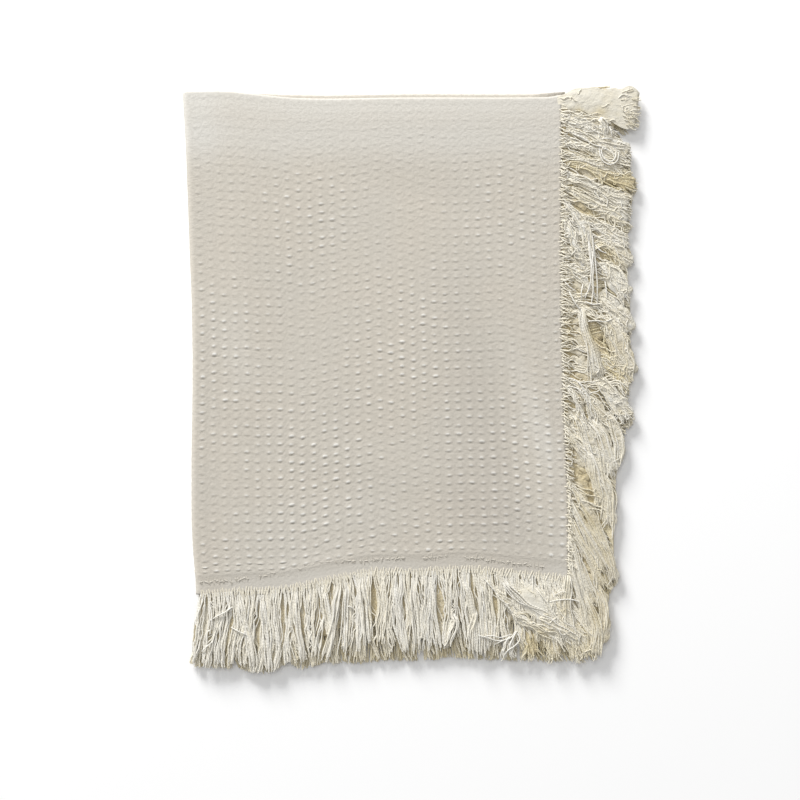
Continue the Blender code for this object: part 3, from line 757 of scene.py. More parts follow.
def float_relief(s, t, wide, high, seed):
    """Height of the woven floats as a share, for grid places of the sheet."""
    rng = np.random.default_rng(seed)
    column = (s - SECOND_HALF_ARC) / wide
    row = (t - FIRST_HALF_ARC) / high
    cells = (62, 92)  # one column and one row more than the upper cloth has
    i = np.clip(np.floor(column).astype(int), -1, cells[0] - 2) + 1
    j = np.clip(np.floor(row).astype(int), -1, cells[1] - 2) + 1
    strength = 0.50 + 0.80 * rng.beta(2.0, 2.0, cells)
    stretch = rng.uniform(0.75, 1.10, cells)
    nudge = rng.uniform(-0.04, 0.04, cells)
    drift = rng.uniform(-0.05, 0.05, cells)
    u = (column - np.floor(column) - 0.5 - drift[i, j]) / (0.36 * stretch[i, j])
    v = row - np.floor(row) - 0.44 - nudge[i, j]
    side = np.cos(np.clip(u, -1, 1) * math.pi / 2).clip(0, 1)
    rise = np.cos(np.clip(v / 0.24, -1, 1) * math.pi / 2).clip(0, 1)
    hollow = np.exp(-(((v - 0.25) / 0.09) ** 2)) * side**2
    held = strength[i, j]
    apart = 1 - np.cos(np.clip(2 * (column - np.floor(column)) - 1, -1, 1) * math.pi / 2)
    ripple = 0.26 * apart * np.cos(2 * math.pi * (row - 0.94)) * (1.6 - held)
    return (rise * side - 0.72 * hollow) * held + ripple


def column_phase(cell, seed):
    """Each column's own drop of its floats, level inside a column and eased between."""
    drops = np.random.default_rng(seed + 2).uniform(-1.0, 1.0, 80)
    place_in = np.clip(cell - 0.5, 0, 78)
    low = np.floor(place_in).astype(int)
    share = eased(0.3, 0.7, place_in - low)
    return drops[low] * (1 - share) + drops[low + 1] * share


def grid_numbers(shape, first=0):
    """Numbers of the vertices of a grid."""
    return np.arange(shape[0] * shape[1]).reshape(shape[:2]) + first


def cloth_mesh(sizes):
    """The whole sheet: a fine upper skin with its floats, and a plain under skin."""
    s, t, keep_s, keep_t, wide, high = sheet_stations(sizes)
    grid_s, grid_t = np.meshgrid(s, t, indexing="ij")
    inside = eased(0.012, 0.085, grid_t) * (1 - eased(0.618, 0.650, grid_t))
    skew = -sizes.weft_skew * (grid_s - HALF_ACROSS / 2)
    zigzag = sizes.zigzag * column_phase((grid_s - SECOND_HALF_ARC) / wide, sizes.seed)
    real_t = grid_t + (skew + zigzag) * inside * (grid_s > 0)
    band = eased(PLAIN_FROM - BAND_STEP, PLAIN_FROM, np.abs(real_t))
    thickness = CLOTH_THICKNESS + (BAND_THICKNESS - CLOTH_THICKNESS) * band
    relief = float_relief(grid_s, grid_t, wide, high, sizes.seed)
    shown = (grid_s > -SECOND_HALF_ARC) & (grid_t > 0) & (grid_t < PLAIN_FROM - BAND_STEP)
    fade = 0.30 + 0.45 * eased(0.02, 0.14, grid_t) + 0.30 * eased(0.20, 0.50, grid_t)
    slow = 1.0 + 0.30 * np.sin(grid_s * 23.0 + 1.0) * np.sin(grid_t * 17.0 + 2.0)
    relief = np.where(shown, relief * fade * slow, 0.0)
    lumps = np.random.default_rng(sizes.seed + 1).normal(0, 0.00002, relief.shape)
    front = place(grid_s, real_t, thickness / 2 + relief * sizes.float_height + lumps)
    kept = np.ix_(keep_s, keep_t)
    back = place(grid_s[kept], real_t[kept], -thickness[kept] / 2)
    number = grid_numbers(front.shape)
    other = grid_numbers(back.shape, number.size)
    faces = quads(number) + [face[::-1] for face in quads(other)]
    faces += rims(number, other, keep_s, keep_t)
    verts = np.concatenate([front.reshape(-1, 3), back.reshape(-1, 3)])
    uv = np.stack([grid_s, real_t], axis=-1)
    uv = np.concatenate([uv.reshape(-1, 2), uv[kept].reshape(-1, 2)])
    # Painted light and shade of the upper cloth's top fold and broad slopes.
    shade = ovals(PAINTED_LIGHT, grid_s - SECOND_HALF_ARC, real_t - FIRST_HALF_ARC)
    shade = np.where((grid_s > -SECOND_HALF_ARC) & (real_t > -FIRST_HALF_ARC), shade, 0.0)
    bare = np.where(shown | (np.abs(real_t) > PLAIN_FROM - BAND_STEP), 0.0, 1.0)
    marks = {name: np.append(values.ravel(), np.full(other.size, under))
             for name, values, under in (("relief", relief, 0.0), ("shade", shade, 0.0),
                                         ("plain", bare, 1.0))}
    return verts, faces, uv, marks


def quads(number):
    """Faces over a grid of vertex numbers, turned to the side that +n is on."""
    a, b = number[:-1, :-1].ravel(), number[:-1, 1:].ravel()
    c, d = number[1:, 1:].ravel(), number[1:, :-1].ravel()
    return np.stack([a, b, c, d], axis=1).tolist()


def rims(number, other, keep_s, keep_t):
    """Edge faces between the fine and the coarse skin, along all four sides."""
    faces = []
    sides = (
        (number[:, 0], other[:, 0], keep_s, 1),
        (number[:, -1], other[:, -1], keep_s, -1),
        (number[0, :], other[0, :], keep_t, -1),
        (number[-1, :], other[-1, :], keep_t, 1),
    )
    for fine, rough, keep, way in sides:
        for k in range(len(keep) - 1):
            upper = list(fine[keep[k] : keep[k + 1] + 1])
            face = [int(v) for v in upper + [rough[k + 1], rough[k]]]
            faces.append(face[::way])
    return faces


def new_object(name, data):
    """Object of a mesh, linked to the scene at the origin."""
    made = bpy.data.objects.new(name, data)
    bpy.context.scene.collection.objects.link(made)
    return made


def closed_mesh(name, verts, faces):
    """Mesh with its faces pointing outwards, shaded smooth."""
    data = bpy.data.meshes.new(name)
    data.from_pydata([tuple(v) for v in verts], [], faces)
    work = bmesh.new()
    work.from_mesh(data)
    bmesh.ops.recalc_face_normals(work, faces=work.faces[:])
    if work.calc_volume(signed=True) < 0:
        bmesh.ops.reverse_faces(work, faces=work.faces[:])
    work.to_mesh(data)
    work.free()
    data.polygons.foreach_set("use_smooth", [True] * len(data.polygons))
    return data


def add_marks(data, marks):
    """Stores named numbers on a mesh's points."""
    for name, values in marks.items():
        layer = data.attributes.new(name, "FLOAT", "POINT")
        layer.data.foreach_set("value", np.asarray(values, np.float32))


# The yarns.
YARN_SIDES = 5
YARN_SHARES = (0.80, 0.80, 0.95, 1.0)  # share of the yarns that is laid, from the floor up
YARN_HOLLOW_SHADE = 0.75  # how much of the hollows' painted shade a yarn takes
BARE_HOLLOW_SHADE = 0.42  # painted shade of the hollows from which the uppermost side yarns are left out
TOP_ROOTS = (0.0016, 0.0005)  # how far in and how high the uppermost yarns start
SIDE_MARGIN = 4.0  # plan units before the outline where the side yarns are drawn in
LASH_PITCH = 0.0047
FRAY_WIDTH = 0.0015
CURL_WIDTH = 0.0016
CURL_AREAS = (0.00015, 0.00120)  # area a curl, in square metres, and on a felted tuft
COMBED_CURLS = 0.25  # share of the curls that a combed tuft has

# The matted tufts.
FELTED_FROM = 25  # width of a tuft's middle, on the plan, from which it is felted
TAIL_FROM = 0.0045  # lift from which a tuft is a tail of combed yarns
BED_PITCHES = (0.0120, 0.0125)  # of the locks under the yarns, side and end
EDGE_LOCKS = 58  # small locks along the side edge


class Edge(NamedTuple):
    """What sets the side edges and the end edges apart."""

    flow: tuple  # how the yarns leave the edge
    reach: float  # length of the edge
    gaps: tuple  # where the uppermost yarns part
    top_pitch: float  # pitch of the uppermost bundles, as a share of the others'
    scatter: tuple  # scatter of the headings at root and tip, in degrees
    turn: int  # which way the lower layers turn
    late: float  # how late a yarn takes its last heading
    gather: float  # most that a lock gathers
    tied: float  # how often a lock is drawn together in its middle
    swing: float  # width of the waves, as a share of the setting
    waves: tuple  # how many waves a yarn has
    shade_depths: tuple  # painted shade of each layer's yarns, from the floor up
    rise: float  # how much the tips rise


SIDE = Edge(flow=SIDE_FLOW, reach=FLAT_ALONG, gaps=SIDE_GAPS, top_pitch=1.7,
            scatter=(14.0, 22.0), turn=1, late=1.25, gather=0.85, tied=0.15, swing=0.9,
            waves=(0.9, 2.1, 4.2), shade_depths=(1.0, 0.95, 0.80, 0.14), rise=0.0010)
END = Edge(flow=END_FLOW, reach=FLAT_ACROSS, gaps=END_GAPS, top_pitch=0.85,
           scatter=(3.0, 4.5), turn=-1, late=0.8, gather=0.48, tied=0.08, swing=1.25,
           waves=(0.8, 1.9, 3.8, 6.2), shade_depths=(0.85, 0.70, 0.38, 0.0), rise=0.0)


class Tuft(NamedTuple):
    """One row of the table of tufts."""

    route: tuple
    root: float
    middle: float
    tip: float
    thick: float
    lift: float
    deep_shade: float

    @property
    def widths(self):
        """Widths at the root, in the middle and at the tip."""
        return self.root, self.middle, self.tip

    @property
    def felted(self):
        """Whether the tuft is one felted mat, without yarns of its own over it."""
        return self.middle > FELTED_FROM

    @property
    def tail(self):
        """Whether the tuft is a tail of yarns that lies high."""
        return self.lift > TAIL_FROM

    @property
    def combed(self):
        """Whether the tuft lies where the fringe is combed."""
        return self.route[0][0] >= COMBED_FROM[0] and self.route[0][1] > COMBED_FROM[1]


MATTED = [Tuft(*row) for row in TUFTS]


class Fringe:
    """Yarns gathered as lines, with what each point and yarn carries."""

    STEPS = 19
    LOWER_STEPS = 11

    def __init__(self, seed):
        self.rng = np.random.default_rng(seed)
        self.points = []
        self.edges = []
        self.marks = {"thickness": [], "tint": [], "deep_shade": [], "run": []}
        self.total = 0

    def add(self, lines, width, tint, deep_shade):
        """Adds yarns: points (yarns, steps, 3), width and tint a yarn, painted shade a point."""
        yarns, steps = lines.shape[:2]
        at = np.linspace(0, 1, steps)
        body = 1 - 0.35 * eased(0.86, 1.0, at)
        swell = 1 + 0.10 * np.sin(at * 17 + self.rng.uniform(0, 6.3, (yarns, 1)))
        radius = np.broadcast_to(width, (yarns,))[:, None] / 2 * body * swell
        lines = lines.copy()
        lines[..., 2] = np.maximum(lines[..., 2], radius + 0.0001)
        step = np.linalg.norm(np.diff(lines, axis=1), axis=2)
        run = np.concatenate([np.zeros((yarns, 1)), np.cumsum(step, axis=1)], axis=1)
        run += self.rng.uniform(0, 0.01, (yarns, 1))
        number = grid_numbers((yarns, steps), self.total)
        self.total += yarns * steps
        self.points += lines.reshape(-1, 3).tolist()
        self.edges += np.stack([number[:, :-1].ravel(), number[:, 1:].ravel()], axis=1).tolist()
        self.marks["thickness"].append(radius.ravel())
        self.marks["tint"].append(np.repeat(np.broadcast_to(tint, (yarns,)), steps))
        # Painted shade of the hollows, added to the yarn's own painted shade.
        stain = YARN_HOLLOW_SHADE * hollow_shade(lines[..., 0], lines[..., 1])
        deep_shade = np.clip(np.broadcast_to(deep_shade, (yarns, steps)) + stain, 0.0, 1.0)
        self.marks["deep_shade"].append(deep_shade.ravel())
        self.marks["run"].append(run.ravel())

    def grown(self, name, tree):
        """Object of all the yarns, which the yarn nodes make from loose edges."""
        data = bpy.data.meshes.new(name)
        data.from_pydata(self.points, self.edges, [])
        add_marks(data, {key: np.concatenate(held) for key, held in self.marks.items()})
        return grown(name, data, tree, {"Sides": YARN_SIDES})


def edge_places(edge, layer, share, inset=0.0, over=0.0):
    """Places on a cut edge of a layer, and the share is how far along it they are."""
    sign_s = 1 if layer >= 2 else -1
    sign_t = 1 if layer in (0, TOP) else -1
    if edge is SIDE:
        t = sign_t * (FIRST_HALF_ARC + share * FLAT_ALONG)
        return place(sign_s * (HALF_ACROSS - inset), t, over)
    s = sign_s * (SECOND_HALF_ARC + share * FLAT_ACROSS)
    return place(s, sign_t * (HALF_ALONG - inset), over)


def straight(middle):
    """No bend, for routes."""
    return 0.0 * middle


def routes(roots, first, last, length, bend, steps, power):
    """Plan routes that leave their roots at one heading and end at another."""
    at = np.linspace(0, 1, steps)[None, :]
    middle = (at[:, 1:] + at[:, :-1]) / 2
    heading = first[:, None] + (last - first)[:, None] * middle**power
    heading = heading + bend(middle)
    ahead = np.stack([np.cos(np.radians(heading)), -np.sin(np.radians(heading))], axis=-1)
    step = ahead * (length[:, None, None] / (steps - 1))
    moved = np.concatenate([np.zeros_like(step[:, :1]), np.cumsum(step, axis=1)], axis=1)
    return roots[:, None, :] + moved


def reach_at(table, at):
    """Reach of the fringe from a table, at places of the plan."""
    rows = np.asarray(table, float)
    return np.interp(at, rows[:, 0], rows[:, 1])


def reached(tips, inset=0.0):
    """Whether plan places stay inside the fringe's outline."""
    x = tips[..., 0] / PLAN_UNIT + PLAN_X
    y = PLAN_Y - tips[..., 1] / PLAN_UNIT
    inside = (x < reach_at(RIGHT_REACH, y)) | (y > CORNER_FROM)
    inside &= y > reach_at(TOP_REACH, x) + inset
    return inside & (y < reach_at(BOTTOM_REACH, x))


def scaled(lines, factor):
    """Routes stretched about their roots."""
    return lines[:, :1] + (lines - lines[:, :1]) * factor


def fitted(lines, most, rng, inset=0.0):
    """Stretches or shortens plan routes about their roots to stay in the outline."""
    best = np.full(len(lines), 0.62)
    for factor in np.linspace(0.64, 1.16, 27):
        tips = lines[:, 0] + (lines[:, -1] - lines[:, 0]) * factor
        good = reached(tips, inset) & (factor <= most)
        best = np.where(good, factor, best)
    best = best * rng.uniform(0.975, 1.0, len(lines))
    return scaled(lines, best[:, None, None])


def held_in(lines, roots):
    """Draws routes of the side fringe in between the cut edge and the outline."""
    y = PLAN_Y - lines[..., 1] / PLAN_UNIT
    most = (reach_at(RIGHT_REACH, y) - SIDE_MARGIN - PLAN_X) * PLAN_UNIT
    over = np.clip(lines[..., 0] - most, 0.0, None)
    room = SIDE_MARGIN * PLAN_UNIT
    x = lines[..., 0] - over + room * np.tanh(over / room)
    leave = 0.003 * eased(0.03, 0.25, np.linspace(0, 1, lines.shape[1]))
    x = np.maximum(x, roots[:, None, 0] + leave[None, :])
    return np.stack([x, lines[..., 1]], axis=-1)


def parted(spots, gaps):
    """Pushes plan places aside from the gaps in the fringe."""
    for x, y, long, wide, heading in gaps:
        centre = plan((x, y))
        ahead = np.array([math.cos(math.radians(heading)), -math.sin(math.radians(heading))])
        aside = np.array([-ahead[1], ahead[0]])
        offset = spots - centre
        p, q = offset @ ahead, offset @ aside
        push = wide * PLAN_UNIT * np.exp(-((p / (long * PLAN_UNIT)) ** 2) * 1.2)
        pushed = np.copysign(np.sqrt(q * q + push * push), q)
        near = np.exp(-((q / (7 * wide * PLAN_UNIT)) ** 2))
        spots = spots + aside * ((pushed - q) * near)[..., None]
    return spots


def wave(rng, count, at, swing, turns):
    """Sideways swing of so many yarns along their length, none at the root."""
    total = np.zeros((count, len(at)))
    for turn in turns:
        phase = rng.uniform(0, 2 * math.pi, (count, 1))
        rate = turn * rng.uniform(0.75, 1.3, (count, 1))
        size = rng.uniform(0.4, 1.0, (count, 1)) / turn**0.55
        total += size * np.sin(2 * math.pi * rate * at[None, :] + phase)
    total -= total[:, :1]
    return swing * total * eased(0.0, 0.25, at)[None, :]


def sideways(lines):
    """Unit vectors across plan routes, to their left."""
    ahead = np.gradient(lines, axis=1)
    ahead /= np.maximum(np.linalg.norm(ahead, axis=2, keepdims=True), 1e-9)
    return np.stack([-ahead[..., 1], ahead[..., 0]], axis=-1)


def bearings(ahead):
    """Unit vectors to the left of vectors in plan, and their headings in degrees."""
    ahead = ahead / np.linalg.norm(ahead, axis=1, keepdims=True)
    aside = np.stack([-ahead[:, 1], ahead[:, 0]], axis=1)
    return aside, -np.degrees(np.arctan2(ahead[:, 1], ahead[:, 0]))


def raised(lines, z):
    """Plan routes with their heights."""
    return np.concatenate([lines, z[..., None]], axis=2)


def on_pile(lines, *rises):
    """Plan routes laid on the uppermost layer's drape, lifted by all the rises."""
    z = drape(TOP, lines[..., 0], lines[..., 1])
    for rise in rises:
        z = z + rise
    return raised(lines, z)


def loose_height(rng, layer, lines, lift):
    """Heights of yarns from where their layer drapes, with their own rise and fall."""
    count, steps = lines.shape[:2]
    at = np.linspace(0, 1, steps)
    base = drape(layer, lines[..., 0], lines[..., 1])
    leave = eased(0.0, 0.16, at)[None, :]
    ride = rng.uniform(-0.0005, 0.0011, (count, 1))
    ride = ride + wave(rng, count, at, 0.0006, (1.1, 2.2))
    return base + leave * (ride + lift)


def locks(rng, bundles, pitch, laid, third_yarn):
    """Places of the yarns along an edge, one lock of bundles after the other."""
    start = 0
    while start < bundles:
        stop = min(bundles, start + int(rng.integers(2, 6)))
        marks = []
        for bundle in range(start, stop):
            number = 2 + (rng.random() < third_yarn * laid)
            if rng.random() > laid:
                number -= 1
            spots = (bundle + 0.5 + rng.uniform(-0.12, 0.12)) * pitch
            marks += list(spots + pitch * rng.uniform(-0.36, 0.36, number))
        start = stop
        if marks:
            yield np.array(marks)


def lay_edge(fringe, edge, layer, sizes):
    """Lays the yarns of one layer's cut edge, lock by lock."""
    rng, on_side, upper = fringe.rng, edge is SIDE, layer == TOP
    at = np.linspace(0, 1, fringe.STEPS if upper else fringe.LOWER_STEPS)
    pitch = sizes.side_pitch if on_side else sizes.end_pitch
    pitch *= edge.top_pitch if upper else 1.0
    sunk = TOP_ROOTS if upper else (0.0, 0.0)
    bundles = int(edge.reach / pitch)
    for marks in locks(rng, bundles, pitch, YARN_SHARES[layer], sizes.third_yarn):
        count = len(marks)
        share = np.clip(marks / edge.reach, 0.0, 1.0)
        middle = share.mean()
        if on_side and upper and middle < 0.06:
            continue
        roots = edge_places(edge, layer, share, *sunk)
        centre = edge_places(edge, layer, np.array([middle]), *sunk)
        column = 4 if on_side and (not upper or rng.random() < 0.4) else 3
        first = along(edge.flow, np.array([middle]), 2) + rng.normal(0, edge.scatter[0])
        last = along(edge.flow, np.array([middle]), column) + rng.normal(0, edge.scatter[1])
        turn = LAYER_TURNS[layer] * edge.turn
        length = along(edge.flow, np.array([middle]), 1) * rng.uniform(0.96, 1.04)
        combed = eased(0.58, 0.68, middle)
        loose = 1.0 + 2.4 * eased(0.08, 0.20, middle) * (1 - 0.75 * combed) if on_side else 1.0
        phase, curl = rng.uniform(0, 6.3), rng.uniform(4, 12) * loose
        rate = rng.uniform(3.5, 7.5)
        spine = routes(centre[:, :2], first + turn * 0.5, last + turn, length,
                       lambda m: curl * np.sin(rate * m + phase), len(at), edge.late)
        gather = rng.uniform(0.12, edge.gather) * eased(0.10, 0.95, at)
        if rng.random() < edge.tied:
            gather = rng.uniform(0.5, 1.0) * np.sin(np.clip(at / 0.62, 0, 1) * math.pi / 2) ** 2
            gather = gather * (1 - 0.5 * eased(0.6, 1.0, at))
        offset = (roots[:, :2] - centre[:, :2])[:, None, :]
        lines = spine + offset * (1 - gather)[None, :, None]
        drift = wave(rng, count, at, sizes.yarn_swing * (edge.swing * loose), edge.waves)
        drift += rng.normal(0, 0.0012, (count, 1)) * eased(0.1, 1.0, at)
        if on_side:
            drift = drift * (0.8 + 0.7 * at)[None, :]
        lines = lines + sideways(lines) * drift[..., None]
        lines = scaled(lines, rng.uniform(0.93, 1.03, (count, 1, 1)))
        most = rng.uniform(0.96, 1.12) if upper else rng.uniform(1.04, 1.16)
        lines = fitted(lines, most, rng, 0.0 if upper else 5.0)
        if layer >= 2:
            lines = parted(lines, edge.gaps)
        if on_side:
            lines = held_in(lines, roots)
        hump = np.sin(np.clip(at * 1.15, 0, 1) * math.pi) ** 0.8
        lift = rng.uniform(0.0, 0.0010) * hump + edge.rise * at
        z = loose_height(rng, layer, lines, lift[None, :])
        z[:, 0] = roots[:, 2]
        width = sizes.yarn_width * rng.uniform(0.82, 1.15, count)
        tint = np.clip(rng.normal(0.55, 0.22, count) + rng.normal(0, 0.15), 0, 1)
        # Painted shade of the yarn: more in the lower layers, less near the root, and less at the
        # side yarns' ends.
        shown = 0.55 + 0.45 * eased(0.2, 0.9, at)
        if on_side:
            shown = shown - 0.55 * eased(0.80, 0.97, at)
        deep_shade = edge.shade_depths[layer] * shown[None, :] * rng.uniform(0.7, 1.0, (count, 1))
        # The uppermost side yarns are mostly left out where the painted shade of the hollows is
        # strong, so that the shaded hollows show.
        clear = np.full(count, True)
        if on_side and upper:
            clear = hollow_shade(lines[:, 4:, 0], lines[:, 4:, 1]).max(axis=1) < BARE_HOLLOW_SHADE
            clear |= rng.random(count) < 0.15
        if clear.any():
            fringe.add(raised(lines, z)[clear], width[clear], tint[clear], deep_shade[clear])


def smooth_route(points, steps):
    """Evenly spaced places on a smooth curve through a few plan places."""
    spots = plan(points)
    far = np.concatenate([[0], np.cumsum(np.linalg.norm(np.diff(spots, axis=0), axis=1))])
    rows = np.column_stack([far, spots])
    at = np.linspace(0, far[-1], steps)
    return np.stack([along(rows, at, 1), along(rows, at, 2)], axis=-1)


def tapered(widths, at):
    """Width along a lock, from those at its root, in its middle and at its tip."""
    return along(tuple(zip((0.0, 0.5, 1.0), widths)), at) * PLAN_UNIT


def lay_by_hand(fringe, laid, sizes, fine=1.0, swing=0.8, short=0.90):
    """Lays the listed locks over the rest."""
    rng, steps = fringe.rng, fringe.STEPS
    at = np.linspace(0, 1, steps)
    for points, *widths, count, lift, shade in laid:
        spine = smooth_route(points, steps)[None]
        width = tapered(widths, at)
        spread = rng.uniform(-0.5, 0.5, (count, 1))
        spread = spread + wave(rng, count, at, 0.10, (0.8, 1.6))
        across = sideways(np.repeat(spine, count, axis=0))
        loose = wave(rng, count, at, sizes.yarn_swing * swing, (1.5, 2.8))
        drift = spread * width[None, :] + loose
        drift[:, 0] = spread[:, 0] * width[0]
        lines = spine + across * drift[..., None]
        lines = fitted(scaled(lines, rng.uniform(short, 1.04, (count, 1, 1))), 1.0, rng)
        hump = np.sin(np.clip(0.12 + at * 0.88, 0, 1) * math.pi) ** 0.6
        dome = 1 - 1.2 * spread**2
        rise = lift * (0.30 + 0.70 * hump)[None, :] * dome * eased(0.0, 0.18, at)[None, :]
        z = loose_height(rng, TOP, lines, rise)
        thick = sizes.yarn_width * rng.uniform(0.82, 1.12, count) * fine
        tint = np.clip(rng.normal(0.72, 0.16, count), 0, 1)
        # The lock's painted shade, with a random share more on the finer yarns.
        low = 0.0 if fine == 1.0 else 0.4 * rng.random((count, 1)) ** 2
        fringe.add(raised(lines, z), thick, tint * (1 - shade), shade + low)


def lay_lashes(fringe):
    """Lays the short curled ends that stand off the side edge."""
    rng, steps = fringe.rng, 10
    at = np.linspace(0, 1, steps)
    count = int(FLAT_ALONG / LASH_PITCH)
    share = (np.arange(count) + 0.5 + rng.uniform(-0.2, 0.2, count)) / count
    share = share[(share > 0.03) & (share < 0.985)]
    count = len(share)
    roots = edge_places(SIDE, TOP, share)[:, :2]
    heading = along(LASH_FLOW, share, 2) + rng.normal(0, 9.0, count)
    length = along(LASH_FLOW, share, 1) * rng.uniform(0.75, 1.25, count)
    curl = rng.choice([-1.0, 1.0], count)[:, None] * rng.uniform(8, 34, (count, 1))
    lines = routes(roots, heading - curl[:, 0], heading + curl[:, 0] * 1.6, length,
                   lambda m: curl * np.sin(5.5 * m + curl), steps, 1.0)
    lines = lines + sideways(lines) * wave(rng, count, at, 0.0011, (1.2, 2.6))[..., None]
    rise = (0.0018 + 0.0016 * np.sin(at * math.pi))[None, :] * eased(-0.15, 0.3, at)[None, :]
    full = on_pile(lines, rise, rng.uniform(0, 0.0008, (count, 1)))
    fringe.add(full, FRAY_WIDTH * rng.uniform(0.85, 1.1, count),
               rng.uniform(0.5, 1.0, count), 0.14)


def tuft_profile(at, widths, thick, start, rng):
    """Half widths to both sides and half height of a tuft along its length."""
    frayed = min(1.0, 11.0 / widths[1])
    width = tapered(widths, at)
    blunt = 0.84 + 0.03 * (1 - frayed)
    tip = np.sqrt(np.clip(1 - (np.clip(at - blunt, 0, 1) / (1 - blunt)) ** 2.4, 0.0, 1.0))
    sides = []
    for _ in range(2):
        uneven = 1 + 0.15 * frayed * np.sin(at * rng.uniform(7, 12) + rng.uniform(0, 6.3))
        uneven += 0.10 * frayed**0.5 * np.sin(at * rng.uniform(19, 34) + rng.uniform(0, 6.3))
        sides.append(width / 2 * uneven * tip)
    high = thick / 2 * (start + (1 - start) * eased(0.0, 0.3, at)) * np.sqrt(tip)
    return *sides, np.where(at >= 1.0, 0.0, high)


def tuft_body(spine, widths, thick, lift, deep_shade, rng, rounds):
    """Points, faces and marks of one matted tuft with its strands in low relief, and its painted
    shade, more on its underside.
    """
    at = np.linspace(0, 1, len(spine))
    left, right, high = tuft_profile(at, widths, thick, 1.0 if lift < -0.002 else 0.35, rng)
    aside = sideways(spine[None])[0]
    turn = np.concatenate([np.linspace(0, math.pi, rounds[0]),
                           np.linspace(math.pi, 2 * math.pi, rounds[1])[1:-1]])
    up, over, ahead = np.sin(turn), np.cos(turn)[None, :], at[:, None]
    strands = max(3.0, widths[1] * 0.42)
    wander = 0.9 * np.sin(at * rng.uniform(3, 6) + rng.uniform(0, 6.3))
    wander += 0.5 * np.sin(at * rng.uniform(8, 14) + rng.uniform(0, 6.3))
    comb = np.cos(strands * math.pi * over + wander[:, None]
                  + 1.1 * np.sin(9 * ahead + 5 * over + rng.uniform(0, 6.3)))
    lumps = np.sin(ahead * 13 + 4 * over + rng.uniform(0, 6.3))
    for _ in range(4):
        lumps = lumps + np.sin(ahead * rng.uniform(8, 34) + rng.uniform(0, 6.3)
                               + rng.uniform(-9, 9) * over)
    felted = widths[1] > FELTED_FROM
    rough = 1.1 if felted else min(1.0, 16.0 / widths[1]) * (1.0 if rounds[0] > 15 else 0.6)
    relief = rough * (0.00007 * comb + 0.00013 * lumps) * np.clip(up, 0, 1)[None, :]
    relief = relief * eased(0.0, 0.15, at)[:, None] * (1 - eased(0.9, 1.0, at))[:, None]
    half = np.where(over > 0, left[:, None], right[:, None])
    plane = spine[:, None, :] + aside[:, None, :] * (half * over)[..., None]
    crest = eased(0.0, 0.3, at) * (1 - 0.65 * eased(0.55, 1.0, at)) if lift > 0 else 1.0
    base = drape(TOP, spine[:, 0], spine[:, 1]) + lift * crest
    if felted:
        high = high * (1 - 0.55 * eased(0.65, 1.0, at))
    body = np.where(up > 0, np.abs(up) ** (2.2 if felted else 1.5), 0.55 * up)
    sag = 0.25 * max(lift, 0.0) * over**2
    z = np.maximum(0.0004, base[:, None] + body[None, :] * high[:, None] + relief - sag)
    number = grid_numbers(z.shape)
    faces = quads(np.concatenate([number, number[:, :1]], axis=1)[:-1])
    faces += [number[-2].tolist(), number[0].tolist()[::-1]]
    used = number[:-1].size
    step = np.linalg.norm(np.diff(spine, axis=0), axis=1)
    run = np.concatenate([[0], np.cumsum(step)]) + rng.uniform(0, 1)
    marks = {
        "strand": half * over + rng.uniform(0, 1),
        "run": np.broadcast_to(run[:, None], half.shape),
        "tint": np.full(half.shape, rng.uniform(0.45, 0.75)),
        # Painted shade: the tuft's own, more on its underside, and that of the hollows.
        "deep_shade": np.clip(deep_shade + 0.5 * np.clip(-up, 0, 1)[None, :]
                        + hollow_shade(plane[..., 0], plane[..., 1]), 0.0, 1.0),
        "matted": np.full(half.shape, 0.40 if felted else 1.0),
    }
    marks = {key: np.asarray(held).reshape(-1)[:used] for key, held in marks.items()}
    return raised(plane, z).reshape(-1, 3)[:used], faces, marks


def bed_bodies(rng):
    """Flat matted locks under the uppermost yarns, which close the gaps between them, with the
    painted shade of the gaps.
    """
    bodies = []
    sides = (SIDE, BED_PITCHES[0], -0.0023, 0.0), (END, BED_PITCHES[1], -0.0032, 0.08)
    for edge, pitch, lift, paler in sides:
        count = int(edge.reach / pitch)
        share = (np.arange(count) + 0.5) / count
        roots = edge_places(edge, TOP, share)[:, :2]
        first = along(edge.flow, share, 2) + rng.normal(0, 3, count)
        last = along(edge.flow, share, 3) + rng.normal(0, 6, count)
        length = along(edge.flow, share, 1) * rng.uniform(0.86, 0.94, count)
        lines = fitted(routes(roots, first, last, length, straight, 13, 1.0), 1.0, rng, 6.0)
        wide = 1.25 * pitch / PLAN_UNIT
        for line in scaled(lines, rng.uniform(0.84, 0.92, (count, 1, 1))):
            bodies.append(tuft_body(line, (wide, wide * 1.1, wide), 0.0030, lift,
                                    rng.uniform(0.80, 1.0) - paler, rng, (11, 6)))
    return bodies


def edge_bodies(rng):
    """Small matted locks close to the side edge, between the larger tufts."""
    share = np.arange(EDGE_LOCKS) + 0.5 + rng.uniform(-0.3, 0.3, EDGE_LOCKS)
    share = share / EDGE_LOCKS
    share = share[share > 0.05]
    count = len(share)
    starts = edge_places(SIDE, TOP, share)[:, :2]
    starts = starts + np.stack([rng.uniform(0.008, 0.018, count), np.zeros(count)], axis=1)
    first = along(SIDE_FLOW, share, 2) + rng.normal(4, 14, count)
    last = along(SIDE_FLOW, share, 3) + rng.normal(0, 16, count)
    lines = routes(starts, first, last, rng.uniform(0.026, 0.042, count),
                   lambda m: 16 * np.sin(5 * m + first[:, None]), 15, 1.0)
    # The small locks take painted shade, as they lie low between the tufts.
    return [tuft_body(line, (3.5, rng.uniform(5.5, 8.5), rng.uniform(4.5, 7.5)), 0.0026,
                      rng.uniform(-0.0004, 0.0006), rng.uniform(0.3, 0.6), rng, (13, 6))
            for line in lines]


